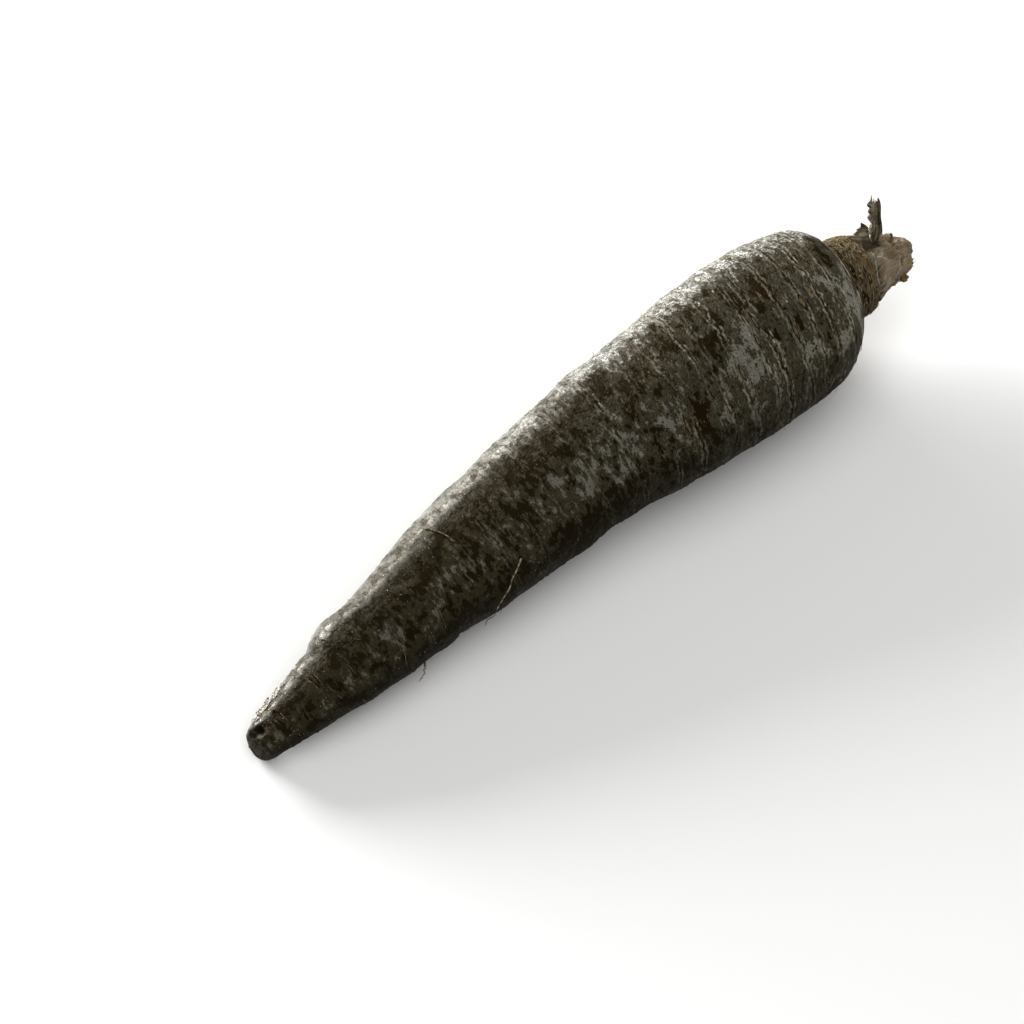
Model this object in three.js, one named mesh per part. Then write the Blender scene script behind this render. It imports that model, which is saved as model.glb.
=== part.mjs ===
// Purple carrot, pulled and lying on its side: one tapering storage root, the short
// woody crown that it carries at its thick end, the bases of the leaf stalks that clasp
// the crown, one dry stalk that is still standing, and a few hair-thin rootlets.
//
// Millimetres, +Z up, the root's tip towards -X and its crown towards +X. The origin
// is the bottom centre of the whole object's box, on the surface that it lies on.
import * as THREE from "three";

// ---- Driving dimensions ----

const ROOT_LENGTH = 196; // from the tip to the top of the shoulder's rim
const SHOULDER_RADIUS = 22.6; // at the widest place, four fifths of the way up
const RIM_RADIUS = 12.4; // where the shoulder ends and the dish for the crown begins
const PRESSED_FLAT = 0.3; // how deep the skin is flattened where the root lies on it
const DISH_DEPTH = 1.6; // how deep the crown is seated in the root's top
const CROWN_LENGTH = 25.6; // from the floor of that dish to the end of the crown
const NECK_LENGTH = 8.6; // the bare woody part of the crown, below the leaf bases
const LEAF_BASE_THICKNESS = 1.3;
const STALK_LENGTH = 11.6;
const STALK_WIDTH = 3.2;
const ROOTLET_RADIUS = 0.26;
const FIT_GAP = 0.35; // clearance between pieces that touch

const SKIN = { color: 0x3a352b, roughness: 0.6, metalness: 0 };
const WOOD = { color: 0x53452f, roughness: 0.9, metalness: 0 };
const LEAF_BASE = { color: 0x6d6250, roughness: 0.85, metalness: 0 };
const DRY_LEAF = { color: 0x565044, roughness: 0.95, metalness: 0 };
const FIBRE = { color: 0x8a7c64, roughness: 0.9, metalness: 0 };

const carrot = new THREE.Group();

function addPiece(name, geometry, finish) {
  const mesh = new THREE.Mesh(geometry, new THREE.MeshStandardMaterial(finish));
  mesh.name = name;
  carrot.add(mesh);
}

function degrees(value) {
  return THREE.MathUtils.degToRad(value);
}

// The height of a smooth curve through [along, height] points, which run upwards.
function heightOn(points, along) {
  const last = points.length - 1;
  if (along <= points[0][0]) return points[0][1];
  if (along >= points[last][0]) return points[last][1];
  const after = points.findIndex((point) => point[0] > along);
  const slope = (i) => {
    const [x0, y0] = points[Math.max(i - 1, 0)];
    const [x1, y1] = points[Math.min(i + 1, last)];
    return (y1 - y0) / (x1 - x0);
  };
  const [x0, y0] = points[after - 1];
  const [x1, y1] = points[after];
  const span = x1 - x0;
  const t = (along - x0) / span;
  const ease = t * t * (3 - 2 * t);
  const leave = t * (1 - t) ** 2 * span * slope(after - 1);
  const arrive = t * t * (t - 1) * span * slope(after);
  return (1 - ease) * y0 + ease * y1 + leave + arrive;
}

// ---- The root's axis ----
// It bows sideways by about 2 mm and rises towards the crown, because the root's thin
// and its thick end lie on the same surface.

const rootAxis = new THREE.CatmullRomCurve3([
  new THREE.Vector3(0, -1.3, 6.0),
  new THREE.Vector3(24, -0.2, 9.7),
  new THREE.Vector3(47, 0.6, 12.3),
  new THREE.Vector3(92, 2.2, 17.3),
  new THREE.Vector3(114, 2.1, 19.2),
  new THREE.Vector3(136, 0.4, 20.9),
  new THREE.Vector3(167, -1.3, 22.0),
  new THREE.Vector3(ROOT_LENGTH, -2.5, 22.9),
]);

// Cross-sections lean over towards this angle, measured from +Y towards +Z.
const LEAN_ANGLE = degrees(24);

// The point at a distance along an axis, with the two directions across it there: side
// points to +Y and up to +Z. Before its start and past its end the axis runs straight.
// The cross-section leans over by an angle whose tangent is tilt.
function acrossAxis(axis, along, tilt) {
  const length = axis.getLength();
  const share = THREE.MathUtils.clamp(along / length, 0, 1);
  const forward = axis.getTangentAt(share);
  const point = axis.getPointAt(share).addScaledVector(forward, along - share * length);
  forward.y -= tilt * Math.cos(LEAN_ANGLE);
  forward.z -= tilt * Math.sin(LEAN_ANGLE);
  forward.normalize();
  const side = new THREE.Vector3(0, 0, 1).cross(forward).normalize();
  const up = forward.clone().cross(side);
  return { point, forward, side, up };
}

// The root's growth rings, and with them its rim, lean over towards the shoulder.
const RIM_TILT = 0.11;
const TILT_STARTS = 90;
const TILT_IS_FULL = 170;

function acrossRoot(along) {
  const share = THREE.MathUtils.smoothstep(along, TILT_STARTS, TILT_IS_FULL);
  return acrossAxis(rootAxis, along, RIM_TILT * share);
}

// ---- The crown's axis ----
// It starts square in its dish and leans on a little further than the rim does.

function makeCrownAxis() {
  const seat = acrossRoot(ROOT_LENGTH - DISH_DEPTH + FIT_GAP);
  const knee = seat.point.clone().addScaledVector(seat.forward, CROWN_LENGTH / 3);
  const end = seat.point
    .clone()
    .addScaledVector(seat.forward, CROWN_LENGTH)
    .addScaledVector(seat.side, -1.0)
    .addScaledVector(seat.up, -0.2);
  return new THREE.QuadraticBezierCurve3(seat.point, knee, end);
}
const crownAxis = makeCrownAxis();

function acrossCrown(along) {
  return acrossAxis(crownAxis, along, 0);
}

// A point in a cross-section, at an angle from +Y towards +Z round its middle.
function around({ point, side, up }, angle, radius) {
  return point
    .clone()
    .addScaledVector(side, radius * Math.cos(angle))
    .addScaledVector(up, radius * Math.sin(angle));
}

// A lathe whose points are then moved from the Y axis to round a bent one. Its outline
// is [along, radius] points, and relief gives what is added to each point's radius.
function latheAlong(across, outline, sides, relief) {
  const points = outline.map(([along, radius]) => new THREE.Vector2(radius, along));
  const geometry = new THREE.LatheGeometry(points, sides);
  const position = geometry.getAttribute("position");
  for (let i = 0; i < position.count; i++) {
    const along = position.getY(i);
    const radius = Math.hypot(position.getX(i), position.getZ(i));
    const angle = Math.atan2(position.getX(i), position.getZ(i));
    const p = around(across(along), angle, radius + relief(along, angle, radius));
    position.setXYZ(i, p.x, p.y, Math.max(p.z, PRESSED_FLAT));
  }
  return geometry;
}

// ---- Taproot ----
// One solid. Half of its outline, as distance from the tip and radius: a dimpled blunt
// tip, a quick taper, a long slow one, the shoulder, its rim and the dish at the top.

const tipScar = [
  [1.8, 0],
  [1.2, 1.6],
  [0, 2.9],
  [0.3, 4.0],
];
const body = [
  [1.6, 5.0],
  [7, 5.8],
  [16, 7.7],
  [30, 10.6],
  [47, 12.5],
  [70, 15.2],
  [92, 17.0],
  [114, 18.4],
  [135, 20.7],
  [153, 22.1],
  [167, SHOULDER_RADIUS],
  [177, 22.2],
  [184, 21.2],
  [189.5, 19.3],
  [193, 16.8],
  [195, 14.4],
  [ROOT_LENGTH, RIM_RADIUS],
];
const dish = [
  [ROOT_LENGTH - 0.4, 11.7],
  [ROOT_LENGTH - DISH_DEPTH, 11.5],
  [ROOT_LENGTH - DISH_DEPTH, 5.6],
  [ROOT_LENGTH - DISH_DEPTH, 0],
];
const BODY_STATIONS = 64;
const ROOT_SIDES = 38;

// Swellings and hollows in the root's side, such as the knuckle near the tip: where
// along, at which angle, how high, and how far they spread along and around.
const swellings = [
  { along: 23, angle: 30, height: -0.5, spread: 4, turn: 40 },
  { along: 31, angle: 24, height: 1.2, spread: 5, turn: 40 },
  { along: 60, angle: 204, height: -0.9, spread: 6, turn: 44 },
  { along: 66, angle: 24, height: 0.8, spread: 11, turn: 50 },
  { along: 98, angle: 204, height: 0.6, spread: 7, turn: 46 },
  { along: 118, angle: 30, height: 0.6, spread: 7, turn: 52 },
  { along: 160, angle: 34, height: 0.4, spread: 13, turn: 52 },
  { along: 181, angle: 24, height: -0.7, spread: 8, turn: 52 },
  { along: 181, angle: 204, height: 0.7, spread: 8, turn: 52 },
];

// How far the skin stands out from the plain round outline. The root is a little wider
// than it is tall, faintly three-sided with a slow twist, and ringed by shallow waves.
const OVALITY = 0.012;
const THREE_SIDEDNESS = 0.008;
const RING_HEIGHT = 0.16;
const SMOOTH_TIP_RADIUS = 5;

function skinRelief(along, angle, radius) {
  const oval = OVALITY * radius * Math.cos(2 * angle);
  const threeSided = THREE_SIDEDNESS * radius * Math.cos(3 * angle + along / 40);
  const rings = RING_HEIGHT * Math.sin(along / 2.9) * Math.sin(along / 11 + angle);
  let relief = oval + threeSided + rings;
  for (const swelling of swellings) {
    const away = angle - degrees(swelling.angle);
    const turned = Math.atan2(Math.sin(away), Math.cos(away)) / degrees(swelling.turn);
    const gone = (along - swelling.along) / swelling.spread;
    relief += swelling.height * Math.exp(-(gone ** 2) - turned ** 2);
  }
  return relief * THREE.MathUtils.smoothstep(radius, 0, SMOOTH_TIP_RADIUS);
}

// The radius of the finished root at a distance along it and an angle round it.
function rootRadius(along, angle) {
  const radius = heightOn(body, along);
  return radius + skinRelief(along, angle, radius);
}

// The dish is plain, so that the crown fits in it.
function rootRelief(along, angle, radius) {
  const inDish = along > ROOT_LENGTH - 2 * DISH_DEPTH && radius < RIM_RADIUS - 0.1;
  return inDish ? 0 : skinRelief(along, angle, radius);
}

function rootGeometry() {
  const curve = new THREE.SplineCurve(body.map((point) => new THREE.Vector2(...point)));
  const side = curve.getSpacedPoints(BODY_STATIONS).map((p) => [p.x, p.y]);
  return latheAlong(acrossRoot, [...tipScar, ...side, ...dish], ROOT_SIDES, rootRelief);
}
addPiece("taproot", rootGeometry(), SKIN);

// ---- Crown ----
// The woody stem base: a neck that fills the dish, then a step down to the slim core
// that the leaf bases clasp. Distances are from the floor of the dish.

const crownOutline = [
  [0, 11.0],
  [1.6, 11.2],
  [5.7, 11.1],
  [8.8, 10.2],
  [12, 8.9],
  [14.5, 8.1],
  [18.5, 7.2],
  [21.4, 6.5],
  [23.4, 5.2],
  [25, 3.4],
  [CROWN_LENGTH, 2.4],
];
const CROWN_SIDES = 30;
const WHORL_DEPTH = LEAF_BASE_THICKNESS + FIT_GAP;
const CORE_TOP = 22.8;
const THINNEST_CORE = 1.2;

const neck = [0, DISH_DEPTH, 3.4, 5.2, 7.0, NECK_LENGTH].map((along) => [
  along,
  heightOn(crownOutline, along),
]);
const core = [NECK_LENGTH, 12, 15.5, 19, 22].map((along) => [
  along,
  Math.max(heightOn(crownOutline, along) - 2 * WHORL_DEPTH, THINNEST_CORE),
]);

// Slanting furrows in the neck's bark.
const BARK_FURROWS = 9;
const FURROW_DEPTH = 0.3;
const NECK_RADIUS = 9;

function barkRelief(along, angle, radius) {
  const onNeck = radius > NECK_RADIUS && along > DISH_DEPTH;
  return onNeck ? (-FURROW_DEPTH * (1 + Math.sin(BARK_FURROWS * angle + along / 3))) / 2 : 0;
}
addPiece(
  "crown",
  latheAlong(acrossCrown, [[0, 0], ...neck, ...core, [CORE_TOP, 0]], CROWN_SIDES, barkRelief),
  WOOD,
);

// ---- Leaf bases ----
// Each is what is left of one leaf's stalk: a scale that clasps the crown, thick down
// its middle and thin at its edges. Three outer ones cover the joins of three inner.

const CLASP = 116; // degrees round the crown that one leaf base takes
const EDGE_THINNING = 0.45; // the share of its thickness that it loses at its edges
const THINNEST_TIP = 0.7;
const TIGHTEST_CLASP = 1.6; // the smallest radius that a leaf base closes in to

const leafBases = [
  { angle: 143, whorl: 0, end: 18.4, slant: -2.2, round: 1.4 },
  { angle: 263, whorl: 0, end: 20.8, slant: 0.4, round: 2.4 },
  { angle: 23, whorl: 0, end: 21.4, slant: -0.8, round: 2.6 },
  { angle: 203, whorl: 1, end: 22.8, slant: 0.6, round: 1.8 },
  { angle: 323, whorl: 1, end: CROWN_LENGTH, slant: 0, round: 2.0 },
  { angle: 83, whorl: 1, end: 24.4, slant: -0.5, round: 1.4 },
];

function leafBaseGeometry({ angle, whorl, end, slant, round }) {
  const geometry = new THREE.BoxGeometry(1, 1, 1, 10, 7, 1);
  const position = geometry.getAttribute("position");
  const foot = NECK_LENGTH + FIT_GAP;
  for (let i = 0; i < position.count; i++) {
    const across = 2 * position.getX(i);
    const top = end + slant * across - round * across ** 2;
    const along = foot + (position.getY(i) + 0.5) * (top - foot);
    const outside = heightOn(crownOutline, along) - whorl * WHORL_DEPTH;
    const inside = Math.max(outside - LEAF_BASE_THICKNESS, TIGHTEST_CLASP);
    const thickness = Math.max(outside - inside, THINNEST_TIP) * (1 - EDGE_THINNING * across ** 2);
    const radius = position.getZ(i) > 0 ? inside + thickness : inside;
    const p = around(acrossCrown(along), degrees(angle + (across * CLASP) / 2), radius);
    position.setXYZ(i, p.x, p.y, p.z);
  }
  return geometry;
}
leafBases.forEach((leafBase, i) => {
  addPiece(`leaf_base_${i + 1}`, leafBaseGeometry(leafBase), LEAF_BASE);
});

// ---- The dry stalk that is still standing ----
// Withered flat, pointed where it leaves the join of two leaf bases, torn off at its top.

const STALK_ANGLE = degrees(86);
const STALK_FOOT = 14.4;
const STALK_THICKNESS = 0.6 * STALK_WIDTH;
const STALK_FACING = new THREE.Vector3(-0.35, -0.4, 0.85); // the way its broad side looks
const STALK_ROUNDING = 0.55; // the share of its thickness that it loses at its edges
const STALK_SINK = 1.2; // how far its foot is pressed in between the two leaf bases
const stalkWidths = [0.5, 0.95, 1.1, 1.0, 0.9, 0.88, 0.92, 1.0, 0.75];

// The points of its path after its foot, in stalk lengths from the foot.
const stalkBends = [
  new THREE.Vector3(0.07, 0.14, 0.22),
  new THREE.Vector3(0.2, 0.34, 0.5),
  new THREE.Vector3(0.33, 0.55, 0.76),
];

function stalkPath() {
  const footRadius = heightOn(crownOutline, STALK_FOOT) + FIT_GAP + 0.3 * STALK_THICKNESS;
  const foot = around(acrossCrown(STALK_FOOT), STALK_ANGLE, footRadius);
  const bends = stalkBends.map((bend) => foot.clone().addScaledVector(bend, STALK_LENGTH));
  foot.addScaledVector(STALK_FACING, -STALK_SINK);
  return new THREE.CatmullRomCurve3([foot, ...bends]);
}

function stalkGeometry() {
  const steps = stalkWidths.length - 1;
  const geometry = new THREE.BoxGeometry(1, 1, 1, 4, steps, 2);
  const position = geometry.getAttribute("position");
  const path = stalkPath();
  for (let i = 0; i < position.count; i++) {
    const share = position.getY(i) + 0.5;
    const width = stalkWidths[Math.round(share * steps)];
    const forward = path.getTangent(share);
    const out = STALK_FACING.clone()
      .addScaledVector(forward, -STALK_FACING.dot(forward))
      .normalize();
    const across = forward.clone().cross(out);
    const rounding = 1 - STALK_ROUNDING * (2 * position.getX(i)) ** 2;
    const thickness = STALK_THICKNESS * rounding * Math.min(width, 1);
    const p = path
      .getPoint(share)
      .addScaledVector(across, position.getX(i) * STALK_WIDTH * width)
      .addScaledVector(out, position.getZ(i) * thickness);
    position.setXYZ(i, p.x, p.y, p.z);
  }
  return geometry;
}
addPiece("dry_leaf_stalk", stalkGeometry(), DRY_LEAF);

// ---- The torn sheath of an old leaf, which curls away beside the stalk ----
// It stands on the third leaf base, lower at its end towards the root, and thins and
// curls over towards its free edge.

const SHEATH_ANGLE = degrees(40);
const SHEATH_ALONG = 13.6;
const SHEATH_LENGTH = 4.6;
const SHEATH_HEIGHT = 2.5;
const SHEATH_THICKNESS = 1.1;
const SHEATH_CURL = 0.5;

function sheathGeometry() {
  const geometry = new THREE.BoxGeometry(1, 1, 1, 5, 4, 1);
  const position = geometry.getAttribute("position");
  for (let i = 0; i < position.count; i++) {
    const lengthwise = position.getX(i);
    const up = position.getY(i) + 0.5;
    const along = SHEATH_ALONG - up + lengthwise * (SHEATH_LENGTH - up);
    const height = SHEATH_HEIGHT * up * (0.72 + 0.5 * lengthwise);
    const radius = heightOn(crownOutline, along) + FIT_GAP + height;
    const thickness = SHEATH_THICKNESS * (1 - 0.45 * up);
    const turn = (position.getZ(i) * thickness + SHEATH_CURL * up ** 2) / radius;
    const p = around(acrossCrown(along), SHEATH_ANGLE + turn, radius);
    position.setXYZ(i, p.x, p.y, p.z);
  }
  return geometry;
}
addPiece("dry_leaf_sheath", sheathGeometry(), DRY_LEAF);

// ---- Side bud ----
// A small dried nodule that sits on a leaf base of the inner whorl.

const BUD_RADIUS = 1.05;
const BUD_ALONG = 18.9;
const BUD_ANGLE = degrees(195);

function budGeometry() {
  const seat = heightOn(crownOutline, BUD_ALONG) - WHORL_DEPTH;
  const middle = around(acrossCrown(BUD_ALONG), BUD_ANGLE, seat + FIT_GAP + BUD_RADIUS);
  const geometry = new THREE.IcosahedronGeometry(BUD_RADIUS, 2);
  geometry.scale(1.15, 0.95, 0.9);
  return geometry.translate(middle.x, middle.y, middle.z);
}
addPiece("side_bud", budGeometry(), LEAF_BASE);

// ---- Rootlets ----
// Dried hair roots, each from one place on the skin along a few points: the distance
// along the root, the angle round it, and how far off the skin.

const rootlets = [
  [[79, 148, 0], [73, 160, 0.5], [67, 176, 0.9], [63, 190, 1.4]],
  [[46, 205, 0], [44.5, 208, 1.2], [42, 209, 2.4]],
  [[9, 70, 0], [6.5, 62, 0.9], [3.5, 58, 1.2]],
  [[112, 318, 0], [107, 308, 0.9], [102, 312, 1.9], [98, 322, 2.2]],
];
const ROOTLET_SIDES = 6;
const ROOTLET_STEPS = 12;

function rootletGeometry(route) {
  const path = new THREE.CatmullRomCurve3(
    route.map(([along, angle, off]) => {
      const turn = degrees(angle);
      const lift = FIT_GAP + ROOTLET_RADIUS + off;
      return around(acrossRoot(along), turn, rootRadius(along, turn) + lift);
    }),
  );
  const section = new THREE.Shape(
    Array.from({ length: ROOTLET_SIDES }, (_, i) => {
      const turn = (i / ROOTLET_SIDES) * 2 * Math.PI;
      return new THREE.Vector2(Math.cos(turn), Math.sin(turn)).multiplyScalar(ROOTLET_RADIUS);
    }),
  );
  return new THREE.ExtrudeGeometry(section, { extrudePath: path, steps: ROOTLET_STEPS });
}
rootlets.forEach((route, i) => {
  addPiece(`rootlet_${i + 1}`, rootletGeometry(route), FIBRE);
});

// ---- The whole object stands on its box's bottom centre ----

const box = new THREE.Box3().setFromObject(carrot);
const middle = box.getCenter(new THREE.Vector3());
carrot.position.set(-middle.x, -middle.y, -box.min.z);

export default carrot;
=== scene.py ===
"""Purple carrot, pulled and lying on its side on a pale floor, in metres.

The root's tip points to -X and its crown to +X. Angles round the root and the crown run
from +Y towards +Z.
"""

import math
import random

import bpy
import numpy as np
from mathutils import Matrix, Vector, noise


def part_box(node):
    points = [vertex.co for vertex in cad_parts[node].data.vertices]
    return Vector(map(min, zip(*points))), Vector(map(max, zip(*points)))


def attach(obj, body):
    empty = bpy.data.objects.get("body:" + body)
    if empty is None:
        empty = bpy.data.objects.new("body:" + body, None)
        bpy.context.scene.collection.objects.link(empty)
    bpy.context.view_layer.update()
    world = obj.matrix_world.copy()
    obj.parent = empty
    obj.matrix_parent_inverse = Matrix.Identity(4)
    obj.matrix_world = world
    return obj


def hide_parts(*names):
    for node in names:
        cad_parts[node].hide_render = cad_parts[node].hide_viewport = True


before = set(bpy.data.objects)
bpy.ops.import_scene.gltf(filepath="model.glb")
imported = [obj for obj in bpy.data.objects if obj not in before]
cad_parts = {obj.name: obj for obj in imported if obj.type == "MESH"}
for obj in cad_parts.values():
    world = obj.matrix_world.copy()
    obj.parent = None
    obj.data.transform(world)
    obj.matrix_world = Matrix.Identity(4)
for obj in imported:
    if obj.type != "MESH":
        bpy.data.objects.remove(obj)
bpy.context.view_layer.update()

MM = 0.001

# --- Taproot --------------------------------------------------------------------------
# The storage root: grown as one piece, a fine-grained body under a thin near-black skin
# that carries an ashy bloom. Rings left by its growth cross it, and tan breathing scars
# sit on them. It lies on two places where its skin is pressed flat.

ROOT_LENGTH = 196
DISH_DEPTH = 1.6
PRESSED_FLAT = 0.3
RIM_TILT = 0.11
LEAN_ANGLE = math.radians(24)

# Millimetres: the line that the root grew along, rising from its tip to its crown.
root_axis = [
    (0, -1.3, 6.0), (24, -0.2, 9.7), (47, 0.6, 12.3), (92, 2.2, 17.3),
    (114, 2.1, 19.2), (136, 0.4, 20.9), (167, -1.3, 22.0), (196, -2.5, 22.9),
]
# Distance from the tip and radius: a quick taper, a long slow one, shoulder and rim.
root_outline = [
    (1.6, 5.0), (7, 5.8), (16, 7.7), (30, 10.6), (47, 12.5), (70, 15.2), (92, 17.0),
    (114, 18.4), (135, 20.7), (153, 22.1), (167, 22.6), (177, 22.2), (184, 21.2),
    (189.5, 19.3), (193, 16.8), (195, 14.4), (196, 12.4),
]
dish_outline = [(195.6, 11.7), (194.5, 11.5), (194.4, 8.6), (194.4, 5.0)]
tip_outline = [(0.3, 4.0), (0.0, 2.9), (0.9, 1.8), (1.7, 0.8)]

# The axis's starting point in the frame: the root's box ends where the tip does.
tip_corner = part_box("taproot")[0]
AXIS_START = Vector((tip_corner.x / MM + 0.46, 1.3, -PRESSED_FLAT))


def smooth_line(points, at, slope=False):
    """The heights, or the slopes, of a smooth line through (place, height) points."""
    places, heights = np.array(points, float).T
    last = len(places) - 1
    before = np.maximum(np.arange(last + 1) - 1, 0)
    after = np.minimum(np.arange(last + 1) + 1, last)
    slopes = (heights[after] - heights[before]) / (places[after] - places[before])
    at = np.clip(at, places[0], places[-1])
    i = np.clip(np.searchsorted(places, at, side="right") - 1, 0, last - 1)
    span = places[i + 1] - places[i]
    t = (at - places[i]) / span
    rise = heights[i + 1] - heights[i]
    leave, arrive = span * slopes[i], span * slopes[i + 1]
    if slope:
        return (
            6 * t * (1 - t) * rise
            + (3 * t * t - 4 * t + 1) * leave
            + (3 * t * t - 2 * t) * arrive
        ) / span
    return heights[i] + t * t * (3 - 2 * t) * rise + t * (1 - t) ** 2 * leave + t * t * (t - 1) * arrive


def ease(value, low, high):
    """0 below low, 1 above high and smooth between."""
    t = np.clip((np.asarray(value, float) - low) / (high - low), 0, 1)
    return t * t * (3 - 2 * t)


def unit(vectors):
    return vectors / np.linalg.norm(vectors, axis=-1, keepdims=True)


def smooth_path(points, walked, at, slope=False):
    """Places on a smooth line through points in space, or its slopes, at distances walked."""
    return np.stack([smooth_line(list(zip(walked, line)), at, slope) for line in points.T], -1)


def on_axis(points, along, angle, radius, tilt=0.0):
    """Places, in millimetres, at distances along an axis and angles and radii round it."""
    along, angle, radius = np.broadcast_arrays(*(np.asarray(at, float) for at in (along, angle, radius)))
    points = np.array(points, float)
    steps = np.linalg.norm(np.diff(points, axis=0), axis=1)
    walked = np.concatenate([[0], np.cumsum(steps)])
    forward = unit(smooth_path(points, walked, along, slope=True))
    beyond = along - np.clip(along, 0, walked[-1])
    middle = smooth_path(points, walked, along) + forward * beyond[..., None]
    forward[..., 1] -= tilt * math.cos(LEAN_ANGLE)
    forward[..., 2] -= tilt * math.sin(LEAN_ANGLE)
    forward = unit(forward)
    side = unit(np.cross([0.0, 0.0, 1.0], forward))
    up = np.cross(forward, side)
    out = np.cos(angle)[..., None] * side + np.sin(angle)[..., None] * up
    return middle + out * radius[..., None]


def on_root(along, angle, radius):
    """Places in the frame, in metres, at distances, angles and radii of the root."""
    placed = on_axis(root_axis, along, angle, radius, RIM_TILT * ease(along, 90, 170))
    placed = placed + np.array(AXIS_START)
    placed[..., 2] = np.maximum(placed[..., 2], 0.0)
    return placed * MM


# Swellings and hollows: along, angle in degrees, height, spread along and spread round.
swellings = [
    (23, 30, -0.5, 4, 40), (31, 24, 1.2, 5, 40), (60, 204, -0.9, 6, 44), (66, 24, 0.8, 11, 50),
    (98, 204, 0.6, 7, 46), (118, 30, 0.6, 7, 52), (160, 34, 0.4, 13, 52), (181, 24, -0.7, 8, 52),
    (181, 204, 0.7, 8, 52),
]


def turn_between(angle, degrees):
    """The turn from a direction in degrees to each angle, in radians."""
    away = np.asarray(angle) - math.radians(degrees)
    return np.arctan2(np.sin(away), np.cos(away))


def fade(distance, width):
    """1 where a distance is nothing, fading out over a width."""
    return np.exp(-((distance / width) ** 2))


def spot(along, angle, place, degrees, length, turn):
    """A soft spot: 1 in its middle, fading out over a length and a turn in radians."""
    return fade(along - place, length) * fade(turn_between(angle, degrees), turn)


def shape_relief(along, angle, radius):
    """How far the root stands out from its plain round outline."""
    relief = 0.012 * radius * np.cos(2 * angle) + 0.008 * radius * np.cos(3 * angle + along / 40)
    relief = relief + 0.16 * np.sin(along / 2.9) * np.sin(along / 11 + angle)
    for place, degrees, height, length, turn in swellings:
        relief = relief + height * spot(along, angle, place, degrees, length, math.radians(turn))
    return relief * ease(radius, 0, 5)


def root_radius(along, angle):
    """The radius of the root, before its skin's fine relief."""
    radius = smooth_line(root_outline, along)
    return radius + shape_relief(along, angle, radius)


def lumps(points, size, seed):
    """Smooth random heights from about -1 to 1 at points, with lumps of a size."""
    places = np.asarray(points) / size + seed
    return np.array([noise.noise(Vector(place)) for place in places]) * 1.6


# The rings that show best, as distances from the tip, and the scars that sit on them:
# along, angle in degrees, half length (round the root) and half width.
RINGS = [
    5.5, 12.5, 20.5, 28.5, 35, 42, 52, 62, 67.5, 75, 85, 95, 106, 111, 117.5, 128.5, 135, 143,
    146.5, 152.5, 160.5, 163.5, 170.5, 176, 181, 187, 192,
]
scars = [
    (21, 100, 2.6, 0.5), (28.5, 122, 2.6, 0.6), (42, 124, 2.4, 0.6), (52.5, 100, 2.0, 0.6),
    (67.5, 86, 2.4, 0.4), (75, 112, 2.0, 0.6), (85, 128, 1.8, 0.5), (95, 88, 2.4, 0.6),
    (106.5, 81, 2.2, 0.8), (111, 78, 2.0, 0.6), (117.5, 80, 2.8, 0.6), (124, 97, 1.6, 0.9),
    (134.5, 70, 2.2, 0.7), (135.5, 112, 2.6, 0.5), (143, 70, 2.6, 0.8), (143.5, 128, 2.2, 0.6),
    (153, 129, 2.6, 0.8), (160.5, 117, 2.2, 0.7), (162.5, 106, 2.6, 0.8), (171, 126, 2.6, 0.9),
    (176.5, 113, 2.1, 1.2), (181, 103, 1.8, 0.6), (184.5, 85, 2.4, 1.0), (187, 127, 2.4, 0.7),
    (134.5, 140, 3.0, 0.8), (106, 134, 1.8, 0.5), (25, 40, 4.0, 0.45), (18.5, 42, 2.4, 0.3),
]
# Sharp creases pressed into the skin: along, degrees, depth, half length and half turn.
creases = [(25.2, 34, 0.7, 0.9, 34), (18.6, 36, 0.3, 0.7, 26), (58, 205, 0.5, 1.2, 30)]
# The bloom changes round the root, and with it painted light and shade: thick along the lit flank as a
# painted highlight, and thin as painted shade on the band above that flank and underneath. For each angle
# in degrees: how much on the lower root and how much on the shoulder.
bloom_light_and_shade_round = [
    (0, 0.1, 0.1), (25, 0.55, 0.4), (50, 0.5, 0.4), (62, 0.1, 0), (72, -0.35, -0.25),
    (85, -0.5, -0.35), (100, -0.3, -0.15), (112, 0, 0), (135, 0, 0), (150, -0.2, 0),
    (170, -0.5, -0.1), (190, -0.6, -0.4), (220, -0.3, -0.2), (260, 0, 0), (360, 0.1, 0.1),
]
# How light the whole skin is at distances from the tip, and painted shade at angles round it: on the band
# above the lit flank and on the underside.
tone_along = [(0, 0.5), (10, 0.6), (60, 0.68), (110, 0.9), (150, 1.3), (176, 1.42), (186, 1.7), (196, 1.7)]
painted_shade_round = [
    (0, 1), (50, 1), (65, 0.64), (82, 0.68), (100, 1), (145, 1), (165, 0.52), (185, 0.38),
    (215, 0.45), (270, 1),
]
# Where the ash-grey bloom lies thick (above 0) or has rubbed off (below 0): along, degrees,
# half length, half turn and how much.
pale_patches = [
    (157, 112, 4, 9, 0.5), (153, 121, 3, 5, 0.4), (120, 132, 3, 12, 0.4), (113, 147, 3, 8, 0.4),
    (157, 133, 2, 8, 0.3), (179, 155, 4, 7, 0.4), (131, 127, 4, 9, 0.3), (104, 137, 2, 9, 0.3),
    (40, 116, 3, 6, 0.3), (98, 117, 3, 5, 0.3), (65, 115, 6, 14, 0.2), (75, 115, 4, 12, 0.2),
    (168, 97, 4, 10, -0.6), (95, 90, 4, 14, -0.3), (72, 75, 4, 14, -0.3), (107, 85, 4, 6, -0.3),
    (123, 67, 4, 9, -0.5), (34, 105, 5, 22, -0.2), (14, 122, 5, 26, -0.2), (132, 158, 9, 8, -0.4),
    (90, 165, 22, 14, -0.4), (147, 112, 3, 6, -0.4), (165, 118, 3, 8, -0.4),
]
UNSEEN_SCARS = 60
dice = random.Random(7)
for _ in range(UNSEEN_SCARS):
    ring = dice.choice(RINGS[3:])
    scars.append((ring, dice.uniform(150, 415), dice.uniform(1.4, 3.0), dice.uniform(0.4, 0.9)))

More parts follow.
